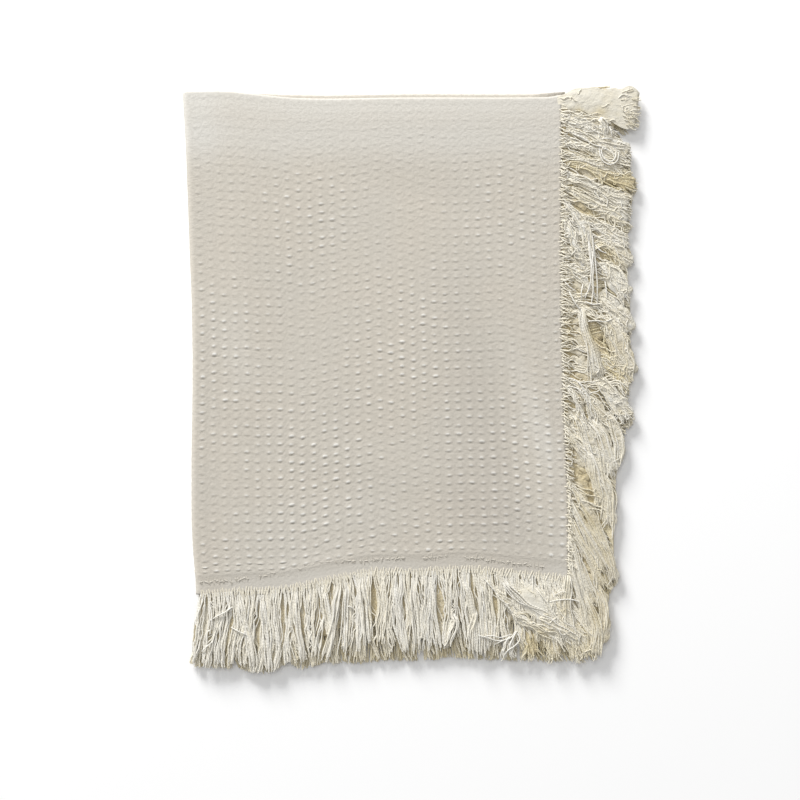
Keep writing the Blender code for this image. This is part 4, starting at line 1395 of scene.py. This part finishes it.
def tuft_mesh(seed):
    """Mesh of all the matted tufts and of the locks under the uppermost yarns."""
    rng = np.random.default_rng(seed)
    verts, faces, marks, bodies = [], [], {}, []
    for tuft in MATTED:
        # Cores of lower tufts, under their yarns, take more painted shade.
        own = 0.0 if tuft.lift > 0.003 else 0.15
        core, rounds = (0.8 * tuft.thick, tuft.lift - 0.0003, tuft.deep_shade + own), (17, 7)
        if tuft.felted:
            core, rounds = (tuft.thick, tuft.lift, tuft.deep_shade), (25, 11)
        spine = smooth_route(tuft.route, 24)
        bodies.append(tuft_body(spine, tuft.widths, *core, rng, rounds))
    for spots, sides, held in bodies + bed_bodies(rng) + edge_bodies(rng):
        faces += [[v + len(verts) for v in face] for face in sides]
        verts += spots.tolist()
        for key, values in held.items():
            marks.setdefault(key, []).append(values)
    data = closed_mesh("matted_tufts", verts, faces)
    add_marks(data, {key: np.concatenate(held) for key, held in marks.items()})
    return data


def lay_tuft_yarns(fringe, sizes):
    """Lays some yarns over each matted tuft, apart from the felted ones."""
    laid = {False: [], True: []}
    for tuft in MATTED:
        combed = tuft.combed or tuft.tail
        share = 1.1 if tuft.tail else (0.62 if combed else 0.38)
        lock = (tuft.route, *tuft.widths, int(4 + share * tuft.middle),
                tuft.lift + tuft.thick * 0.24, 0.7 * tuft.deep_shade)
        if not tuft.felted:
            laid[combed].append(lock)
    lay_by_hand(fringe, laid[False], sizes, 0.82, 2.2, 0.86)
    lay_by_hand(fringe, laid[True], sizes, 0.82, 0.7, 0.90)


def lay_curls(fringe):
    """Lays short curled yarns over the matted tufts, in many directions."""
    rng, steps, stations = fringe.rng, 9, 60
    for tuft in MATTED:
        spine = smooth_route(tuft.route, stations)
        far = np.linalg.norm(np.diff(spine, axis=0), axis=1).sum()
        area = far * (tuft.middle + tuft.tip) * PLAN_UNIT / 2
        count = int(3 + area / CURL_AREAS[tuft.felted])
        if tuft.combed or tuft.tail:
            count = int(COMBED_CURLS * count)
        at = rng.uniform(0.04, 0.88, count)
        half = tapered(tuft.widths, at) / 2
        spot = (at * (stations - 1)).astype(int)
        aside, heading = bearings(spine[np.minimum(spot + 1, stations - 1)]
                                  - spine[np.maximum(spot - 1, 0)])
        off = rng.uniform(-0.9, 0.9, count)
        heading = heading + rng.normal(0, 24, count)
        length = rng.uniform(0.008, 0.020, count)
        curl = rng.choice([-1.0, 1.0], (count, 1)) * rng.uniform(30, 130, (count, 1))
        curl = curl * (0.45 if tuft.combed else 1.0)
        starts = spine[spot] + aside * (off * half)[:, None]
        lines = routes(starts, heading - curl[:, 0] * 0.6, heading + curl[:, 0] * 0.6, length,
                       lambda m: 0.5 * curl * np.sin(7 * m + curl), steps, 1.0)
        good = reached(lines[:, -1]) & reached(lines[:, 4])
        lines, off, at = lines[good], off[good], at[good]
        crest = (0.25 + 0.75 * eased(0.0, 0.3, at)) * (1 - 0.65 * eased(0.55, 1.0, at))
        top = tuft.lift * crest + tuft.thick / 2 * np.clip(1 - off * off, 0.1, 1) ** 0.75 - 0.0003
        bow = 0.0006 * np.sin(np.linspace(0, math.pi, steps))[None, :]
        fringe.add(on_pile(lines, top[:, None], bow),
                   CURL_WIDTH * rng.uniform(0.8, 1.15, len(lines)),
                   rng.uniform(0.5, 1.0, len(lines)),
                   0.5 * tuft.deep_shade + 0.4 * rng.random((len(lines), 1)) ** 2)


def lay_frays(fringe):
    """Lays short yarn ends that stand out of the tips of the matted tufts."""
    rng, steps, stations = fringe.rng, 7, 40
    for tuft in MATTED:
        count = int(5 + 0.6 * tuft.tip)
        spine = smooth_route(tuft.route, stations)
        spot = (rng.uniform(0.76, 0.92, count) * (stations - 1)).astype(int)
        aside, heading = bearings(spine[spot] - spine[spot - 3])
        off = rng.uniform(-0.95, 0.95, count)
        starts = spine[spot] + aside * (off * 0.42 * tuft.tip * PLAN_UNIT)[:, None]
        heading = heading - 22 * off + rng.normal(0, 16, count)
        curl = rng.choice([-1.0, 1.0], (count, 1)) * rng.uniform(10, 60, (count, 1))
        lines = routes(starts, heading - curl[:, 0] * 0.4, heading + curl[:, 0] * 0.6,
                       rng.uniform(0.011, 0.019, count), straight, steps, 1.0)
        lines = fitted(lines, 1.0, rng)
        lines = lines[reached(lines[:, -1])]
        top = (tuft.lift + 0.42 * tuft.thick if tuft.felted
               else 0.4 * tuft.lift + 0.3 * tuft.thick)
        rise = np.linspace(1.0, 0.25, steps)[None, :] * top
        full = on_pile(lines, rise, rng.uniform(-4e-4, 4e-4, (len(lines), 1)))
        fringe.add(full, FRAY_WIDTH * rng.uniform(0.8, 1.15, len(lines)),
                   rng.uniform(0.4, 1.0, len(lines)),
                   0.6 * tuft.deep_shade + 0.3 * rng.random((len(lines), 1)) ** 2)


def lay_loose(fringe, sizes):
    """Lays single loose yarns on top."""
    at = np.linspace(0, 1, fringe.STEPS)
    for points, lift in LOOSE_YARNS:
        line = smooth_route(points, fringe.STEPS)[None]
        full = on_pile(line, lift * (0.45 + 0.55 * np.sin(at * math.pi))[None, :])
        # Negative painted shade keeps the hollows' painted shade off these top yarns.
        fringe.add(full, sizes.yarn_width * 0.95, 1.0, -0.8)


def node_group(name, sockets, output):
    """Node group with named inputs: a place to add nodes from, and what it is given."""
    tree = bpy.data.node_groups.new(name, "GeometryNodeTree")
    tree.interface.new_socket(name="Lines", in_out="INPUT", socket_type="NodeSocketGeometry")
    for label, kind, value in sockets:
        made = tree.interface.new_socket(name=label, in_out="INPUT",
                                         socket_type="NodeSocket" + kind)
        made.default_value = value
    tree.interface.new_socket(name=output, in_out="OUTPUT", socket_type="NodeSocketGeometry")
    given = tree.nodes.new("NodeGroupInput")
    labels = ["Lines"] + [label for label, *_ in sockets]
    return Signal(tree), {label: Signal(tree, given.outputs[label]) for label in labels}


def finished(shape, smooth_first, material):
    """Ends a node group: instances made real, shaded smooth, with their material."""
    steps = ["GeometryNodeRealizeInstances", "GeometryNodeSetShadeSmooth"]
    for kind in steps[::-1] if smooth_first else steps:
        shape = shape.node(kind, values={"Geometry": shape})
    shape = shape.node("GeometryNodeSetMaterial", values={"Geometry": shape})
    shape.socket.node.inputs["Material"].default_value = material
    end = shape.tree.nodes.new("NodeGroupOutput")
    shape.tree.links.new(shape.socket, end.inputs[0])
    return shape.tree


def yarn_tree(material):
    """Node group that turns edge lines into yarn tubes of their stored thickness."""
    start, given = node_group("yarn_tubes", (("Sides", "Int", YARN_SIDES),), "Tubes")
    thickness = start.node("GeometryNodeInputNamedAttribute", {"data_type": "FLOAT"},
                           {"Name": "thickness"}, "Attribute")
    curve = start.node("GeometryNodeMeshToCurve", values={"Mesh": given["Lines"]})
    curve = start.node("GeometryNodeSetCurveRadius",
                       values={"Curve": curve, "Radius": thickness})
    ring = start.node("GeometryNodeCurvePrimitiveCircle",
                      values={"Resolution": given["Sides"], "Radius": 1.0})
    spot = start.node("GeometryNodeInputPosition")
    ring = start.node("GeometryNodeStoreNamedAttribute", {"data_type": "FLOAT_VECTOR"},
                      {"Geometry": ring, "Name": "around", "Value": spot})
    tube = start.node("GeometryNodeCurveToMesh", values={
        "Curve": curve, "Profile Curve": ring, "Scale": thickness, "Fill Caps": True})
    return finished(tube, True, material)


def stitch_tree(material):
    """Node group that sets small arched stitches along edge lines."""
    floats = (("Pitch", 0.004), ("Length", 0.006), ("Thickness", 0.0016),
              ("Arch", 0.001), ("Turn", 0.0), ("Unevenness", 0.15))
    sockets = [(name, "Float", value) for name, value in floats] + [("Seed", "Int", 3)]
    start, given = node_group("stitch_row", sockets, "Stitches")

    def combined(x, y, z):
        return start.node("ShaderNodeCombineXYZ", values={0: x, 1: y, 2: z})

    def varied(low, high, offset):
        return start.node("FunctionNodeRandomValue", {"data_type": "FLOAT"},
                          {2: low, 3: high, "Seed": given["Seed"] + offset}, 1)

    half = given["Length"] * 0.5
    bend = start.node("GeometryNodeCurveQuadraticBezier", values={
        "Resolution": 4, "Start": combined(0.0, half * -1.0, 0.0),
        "Middle": combined(0.0, 0.0, given["Arch"] * 2.0), "End": combined(0.0, half, 0.0)})
    ring = start.node("GeometryNodeCurvePrimitiveCircle", values={
        "Resolution": YARN_SIDES, "Radius": given["Thickness"] * 0.5})
    tube = start.node("GeometryNodeCurveToMesh",
                      values={"Curve": bend, "Profile Curve": ring, "Fill Caps": True})
    curve = start.node("GeometryNodeMeshToCurve", values={"Mesh": given["Lines"]})
    even = start.node("GeometryNodeResampleCurve", {"mode": "LENGTH"},
                      {"Curve": curve, "Length": given["Pitch"]})
    tangent = start.node("GeometryNodeInputTangent")
    facing = start.node("FunctionNodeAlignRotationToVector", {"axis": "X", "pivot_axis": "Z"},
                        {"Vector": tangent})
    uneven = given["Unevenness"]
    swing = varied(uneven * -1.2, uneven * 1.2, 1)
    spin = start.node("FunctionNodeEulerToRotation",
                      values={"Euler": combined(0.0, 0.0, given["Turn"] + swing)})
    turned = start.node("FunctionNodeRotateRotation", {"rotation_space": "LOCAL"},
                        {"Rotation": facing, "Rotate By": spin})
    size = varied(1.0 - uneven, uneven + 1.0, 2)
    put = start.node("GeometryNodeInstanceOnPoints", values={
        "Points": even, "Instance": tube, "Rotation": turned,
        "Scale": combined(1.0, size, size)})
    return finished(put, False, material)


def grown(name, data, tree, values):
    """Plain mesh object of what a node group makes from a line mesh."""
    source = new_object(name + "_lines", data)
    modifier = source.modifiers.new("grow", "NODES")
    modifier.node_group = tree
    for item in tree.interface.items_tree:
        if item.item_type == "SOCKET" and item.in_out == "INPUT" and item.name in values:
            modifier[item.identifier] = values[item.name]
    bpy.context.view_layer.update()
    graph = bpy.context.evaluated_depsgraph_get()
    made = bpy.data.meshes.new_from_object(source.evaluated_get(graph))
    made.name = name
    source.modifiers.remove(modifier)
    bpy.data.objects.remove(source)
    if not made.polygons:
        raise RuntimeError(f"{name} has no faces")
    return new_object(name, made)


def joined(name, parts):
    """One object of several, at the origin."""
    bpy.ops.object.select_all(action="DESELECT")
    for part in parts:
        part.select_set(True)
    bpy.context.view_layer.objects.active = parts[0]
    bpy.ops.object.join()
    parts[0].name = name
    parts[0].data.name = name
    return parts[0]


def line_data(name, runs):
    """Mesh of edge lines through lists of points."""
    verts, edges = [], []
    for run in runs:
        base = len(verts)
        verts += [tuple(map(float, point)) for point in run]
        edges += [(base + k, base + k + 1) for k in range(len(run) - 1)]
    data = bpy.data.meshes.new(name)
    data.from_pydata(verts, edges, [])
    return data


def length_property(name, description, default):
    """Length setting, in metres."""
    return FloatProperty(name=name, description=description, default=default, unit="LENGTH")


def share_property(name, description, default):
    """Setting that is a share."""
    return FloatProperty(name=name, description=description, default=default,
                         min=0.0, max=1.0, subtype="FACTOR")


class BlanketSizes(bpy.types.PropertyGroup):
    """Sizes of the weave, the yarns and the stitches."""

    float_column: length_property(
        "Float column", "Distance between two columns of woven floats", 0.01525)
    float_row: length_property(
        "Float row", "Distance between two rows of woven floats", 0.01160)
    float_height: length_property(
        "Float height", "How far a woven float stands up from the cloth", 0.00072)
    weft_skew: FloatProperty(
        name="Weft skew", description="Rise of the rows of floats to the right",
        default=0.030)
    zigzag: length_property(
        "Zigzag", "How far a column of floats may sit off its neighbours", 0.0048)
    yarn_width: length_property("Yarn width", "Diameter of one fringe yarn", 0.00200)
    yarn_swing: length_property("Yarn swing", "How far a yarn waves to its sides", 0.0013)
    end_pitch: length_property(
        "End pitch", "Distance between bundles of yarn on the end edges", 0.0036)
    side_pitch: length_property(
        "Side pitch", "Distance between bundles of yarn on the side edges", 0.0043)
    third_yarn: share_property(
        "Third yarn", "Share of bundles that have a third yarn", 0.85)
    seed: IntProperty(
        name="Seed", description="Number that fixes everything uneven", default=7)


def colour_property(name, description, default):
    """Colour setting of a material."""
    return FloatVectorProperty(name=name, description=description, default=default,
                               subtype="COLOR", size=3, min=0.0, max=1.0)


class BlanketColours(bpy.types.PropertyGroup):
    """Colours of the cloth and the yarn."""

    cloth: colour_property("Cloth", "Mean colour of the cloth", (0.571, 0.532, 0.461))
    cloth_warm: colour_property("Warm cloth", "Warmer patches", (0.583, 0.537, 0.464))
    cloth_cool: colour_property("Cool cloth", "Cooler patches", (0.574, 0.536, 0.470))
    # Painted light on the lit slopes and the top fold.
    cloth_painted_light: colour_property("Worn cloth", "Paler worn places", (0.72, 0.71, 0.67))
    # Painted shade in the hollows of folds and on slopes turned from the light.
    cloth_painted_shade: colour_property("Dull cloth", "Duller hollows of folds", (0.45, 0.41, 0.36))
    # Painted shade between and under the floats, also used for darker specks.
    hollow: colour_property("Hollow", "Cloth between and under floats", (0.33, 0.30, 0.24))
    # Painted highlight on the float tops, also used for light flecks.
    float_highlight: colour_property("Float", "Top of the woven floats", (0.84, 0.83, 0.79))
    felt: colour_property("Felt", "Matted tufts", (0.732, 0.710, 0.636))
    felt_cool: colour_property("Cool felt", "Cooler places of the tufts", (0.732, 0.726, 0.688))
    # Painted shade of the tufts' hollows and undersides, also their yellower mottling.
    felt_shade_and_mottle: colour_property("Deep felt", "Yellower places of the tufts", (0.520, 0.436, 0.262))
    yarn: colour_property("Yarn", "Mean colour of the fringe", (0.810, 0.777, 0.684))
    yarn_warm: colour_property("Warm yarn", "Warmer yarns", (0.815, 0.764, 0.640))
    yarn_light: colour_property("Light yarn", "Lighter yarns", (0.820, 0.803, 0.757))
    # Painted shade of the yarn low in the pile and in the hollows, also its darker fibres.
    yarn_shade_and_fibre: colour_property("Deep yarn", "Yarn low in the pile", (0.665, 0.575, 0.345))


class BlanketStage(bpy.types.PropertyGroup):
    """Light and camera."""

    key_share: share_property(
        "Key share", "Light that the large high lamp lays on the floor", 0.18)
    low_share: share_property(
        "Low share", "Light that the low lamp lays on the floor", 0.50)
    fill: FloatProperty(
        name="Fill", description="Strength of the light from all round", default=0.40)
    camera_height: length_property(
        "Camera height", "Height of the camera over the floor", 2.607)
    lens: FloatProperty(
        name="Lens", description="Focal length of the camera", default=85.0,
        unit="CAMERA")


def settings():
    """The scene's settings for the blanket."""
    return bpy.context.scene.blanket_sizes, bpy.context.scene.blanket_colours


class BLANKET_OT_cloth(bpy.types.Operator):
    """Makes the folded cloth with its woven floats"""

    bl_idname = "blanket.cloth"
    bl_label = "Make Cloth"

    def execute(self, context):
        sizes, colours = settings()
        verts, faces, uv, marks = cloth_mesh(sizes)
        data = closed_mesh("woven_cloth", verts, faces)
        add_marks(data, marks)
        layer = data.uv_layers.new(name="sheet")
        corners = np.zeros(len(data.loops), np.int32)
        data.loops.foreach_get("vertex_index", corners)
        layer.data.foreach_set("uv", uv[corners].astype(np.float32).ravel())
        data.materials.append(shared("woven_cotton", cloth_material, colours))
        cloth = new_object("woven_cloth", data)
        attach(cloth, "root")
        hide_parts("cloth")
        return {"FINISHED"}


class BLANKET_OT_hem(bpy.types.Operator):
    """Makes the drawn-thread line of the hem and the root loops of the fringe"""

    bl_idname = "blanket.hem"
    bl_label = "Make Hem"

    def execute(self, context):
        sizes, colours = settings()
        cloth = shared("woven_cotton", cloth_material, colours)
        yarn = shared("spun_yarn", yarn_material, colours)
        tree = stitch_tree(cloth)
        runs, holes = [], []
        rng = np.random.default_rng(sizes.seed)
        for run in HEM_RUNS:
            spots = smooth_route(run, HEM_STATIONS)
            spots[:, 1] += rng.normal(0, HEM_SCATTER, len(spots))
            runs.append(on_cloth(spots, -0.0003))
            holes.append(on_cloth(spots - np.array([0.0, HEM_PIT_DROP]), -0.0005))
        dashes = grown("hem_dashes", line_data("hem", runs), tree, {
            "Pitch": 0.0072, "Length": 0.0046, "Thickness": 0.0013, "Arch": 0.0001,
            "Turn": math.pi / 2, "Unevenness": 0.40})
        ticks = grown("hem_ticks", line_data("ticks", runs), tree, {
            "Pitch": 0.0050, "Length": 0.0060, "Thickness": 0.0010, "Arch": 0.0001,
            "Turn": 0.15, "Unevenness": 0.45, "Seed": 9})
        pits = grown("hem_pits", line_data("pits", holes), tree, {
            "Pitch": 0.0098, "Length": 0.0024, "Thickness": 0.0014, "Arch": 0.0001,
            "Turn": 1.2, "Unevenness": 0.50, "Seed": 12})
        # Dashes and ticks take the painted highlight of the floats, and the pits the painted shade
        # of the hollows, as dark dots for the drawn-out threads.
        for part, tone in ((dashes, 0.6), (ticks, 0.5), (pits, -0.35)):
            add_marks(part.data, {"relief": [tone] * len(part.data.vertices)})
        hem = joined("hem_line", [dashes, ticks, pits])
        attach(hem, "root")
        loops = stitch_tree(yarn)
        share = np.linspace(0.004, 0.996, ROOT_STATIONS)
        end = place(SECOND_HALF_ARC + share * FLAT_ACROSS, HALF_ALONG - 0.0010,
                    BAND_THICKNESS / 2 - 0.0002)
        side = place(HALF_ACROSS + 0.0034, FIRST_HALF_ARC + share * FLAT_ALONG, 0.0006)
        end_loops = grown("end_loops", line_data("end", [end]), loops, {
            "Pitch": 0.0038, "Length": 0.0104, "Thickness": 0.0018,
            "Arch": 0.0002, "Turn": 0.0, "Unevenness": 0.30, "Seed": 4})
        side_loops = grown("side_loops", line_data("side", [side]), loops, {
            "Pitch": 0.0048, "Length": 0.0120, "Thickness": 0.0018,
            "Arch": 0.0010, "Turn": -0.25, "Unevenness": 0.30, "Seed": 5})
        roots = joined("root_loops", [end_loops, side_loops])
        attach(roots, "root")
        return {"FINISHED"}


def on_cloth(spots, over):
    """Points on the uppermost layer's upper skin under plan places."""
    s = spots[:, 0] - ARC_X + SECOND_HALF_ARC
    t = ARC_Y - spots[:, 1] + FIRST_HALF_ARC
    for _ in range(8):
        there = place(s, t, CLOTH_THICKNESS / 2 + over)
        s = s + spots[:, 0] - there[:, 0]
        t = t - spots[:, 1] + there[:, 1]
    return place(s, t, CLOTH_THICKNESS / 2 + over)


FRINGES = (
    ("yarns_side_upper", "fringe_side_upper", SIDE, (2, 3)),
    ("yarns_side_lower", "fringe_side_lower", SIDE, (0, 1)),
    ("yarns_end_outer", "fringe_end_outer", END, (0, 3)),
    ("yarns_end_inner", "fringe_end_inner", END, (1, 2)),
)
EXTRAS = ("hem_line", "root_loops", "matted_tufts", "tuft_yarns", "loose_curls")


class BLANKET_OT_fringe(bpy.types.Operator):
    """Makes the yarns of all four cut edges"""

    bl_idname = "blanket.fringe"
    bl_label = "Make Fringe"

    def execute(self, context):
        sizes, colours = settings()
        material = shared("spun_yarn", yarn_material, colours)
        tree = yarn_tree(material)
        for number, (name, node, edge, layers) in enumerate(FRINGES):
            fringe = Fringe(sizes.seed * 10 + number)
            for layer in layers:
                lay_edge(fringe, edge, layer, sizes)
            if TOP in layers and edge is END:
                lay_by_hand(fringe, END_LAID, sizes)
            yarns = fringe.grown(name, tree)
            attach(yarns, "root")
            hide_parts(node)
        combed = Fringe(sizes.seed * 10 + 8)
        lay_tuft_yarns(combed, sizes)
        combed = combed.grown("tuft_yarns", tree)
        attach(combed, "root")
        curls = Fringe(sizes.seed * 10 + 7)
        lay_lashes(curls)
        lay_curls(curls)
        lay_frays(curls)
        lay_loose(curls, sizes)
        curls = curls.grown("loose_curls", tree)
        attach(curls, "root")
        tufts = new_object("matted_tufts", tuft_mesh(sizes.seed))
        tufts.data.materials.append(material)
        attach(tufts, "root")
        return {"FINISHED"}


class BLANKET_OT_declare(bpy.types.Operator):
    """Gathers the fringe and extra pieces by name, and does nothing more with them"""

    bl_idname = "blanket.declare"
    bl_label = "Declare Sheet"

    def execute(self, context):
        pieces = [bpy.data.objects[name] for name, *_ in FRINGES]
        pieces += [bpy.data.objects[name] for name in EXTRAS]
        return {"FINISHED"}


class BLANKET_OT_stage(bpy.types.Operator):
    """Makes the floor, the lights and the camera"""

    bl_idname = "blanket.stage"
    bl_label = "Make Stage"

    def execute(self, context):
        stage = context.scene.blanket_stage
        work = bmesh.new()
        bmesh.ops.create_grid(work, x_segments=8, y_segments=8, size=FLOOR_SIZE)
        data = bpy.data.meshes.new("floor")
        work.to_mesh(data)
        work.free()
        floor = new_object("floor", data)
        made, shader, start = new_material("pale_floor", 0.95, 0.0)
        shader.inputs["Base Color"].default_value = (1.0, 1.0, 1.0, 1.0)
        shader.inputs["Specular IOR Level"].default_value = 0.0
        data.materials.append(made)

        for name, spot, width, share in LAMPS:
            far = math.sqrt(sum(v * v for v in spot))
            lamp = bpy.data.lights.new(name, "AREA")
            lamp.shape = "DISK"
            lamp.size = width
            lamp.energy = getattr(stage, share) * math.pi**2 * far**3 / spot[2]
            light = bpy.data.objects.new(name, lamp)
            light.location = spot
            aim = context.scene.cursor.location - light.location
            light.rotation_euler = aim.to_track_quat("-Z", "Y").to_euler()
            context.scene.collection.objects.link(light)

        world = context.scene.world or bpy.data.worlds.new("studio")
        context.scene.world = world
        world.use_nodes = True
        background = world.node_tree.nodes["Background"]
        background.inputs["Color"].default_value = (1.0, 1.0, 1.0, 1.0)
        background.inputs["Strength"].default_value = stage.fill
        context.scene.view_settings.view_transform = "Standard"

        lens = bpy.data.cameras.new("camera")
        lens.lens = stage.lens
        lens.sensor_width = 36.0
        camera = bpy.data.objects.new("camera", lens)
        x, y = plan(PICTURE_MIDDLE)
        camera.location = (x, y, stage.camera_height)
        context.scene.collection.objects.link(camera)
        context.scene.camera = camera
        return {"FINISHED"}


class BLANKET_PT_panel(bpy.types.Panel):
    """Sidebar panel with the blanket's sizes, colours and steps"""

    bl_idname = "BLANKET_PT_panel"
    bl_label = "Folded Throw Blanket"
    bl_space_type = "VIEW_3D"
    bl_region_type = "UI"
    bl_category = "Blanket"

    def draw(self, context):
        column = self.layout.column()
        for group in ("blanket_sizes", "blanket_colours", "blanket_stage"):
            held = getattr(context.scene, group)
            for name in held.__annotations__:
                column.prop(held, name)
        for step in STEPS:
            column.operator(step.bl_idname)


STEPS = (
    BLANKET_OT_stage,
    BLANKET_OT_cloth,
    BLANKET_OT_hem,
    BLANKET_OT_fringe,
    BLANKET_OT_declare,
)
CLASSES = (BlanketSizes, BlanketColours, BlanketStage) + STEPS + (BLANKET_PT_panel,)


def register():
    """Registers the classes and the scene's settings."""
    for item in CLASSES:
        bpy.utils.register_class(item)
    bpy.types.Scene.blanket_sizes = PointerProperty(type=BlanketSizes)
    bpy.types.Scene.blanket_colours = PointerProperty(type=BlanketColours)
    bpy.types.Scene.blanket_stage = PointerProperty(type=BlanketStage)


def unregister():
    """Removes the scene's settings and the classes."""
    del bpy.types.Scene.blanket_stage
    del bpy.types.Scene.blanket_colours
    del bpy.types.Scene.blanket_sizes
    for item in reversed(CLASSES):
        bpy.utils.unregister_class(item)


def main():
    """Makes the blanket step by step."""
    register()
    bpy.ops.blanket.stage()
    bpy.ops.blanket.cloth()
    bpy.ops.blanket.hem()
    bpy.ops.blanket.fringe()
    bpy.ops.blanket.declare()


if __name__ == "__main__":
    main()
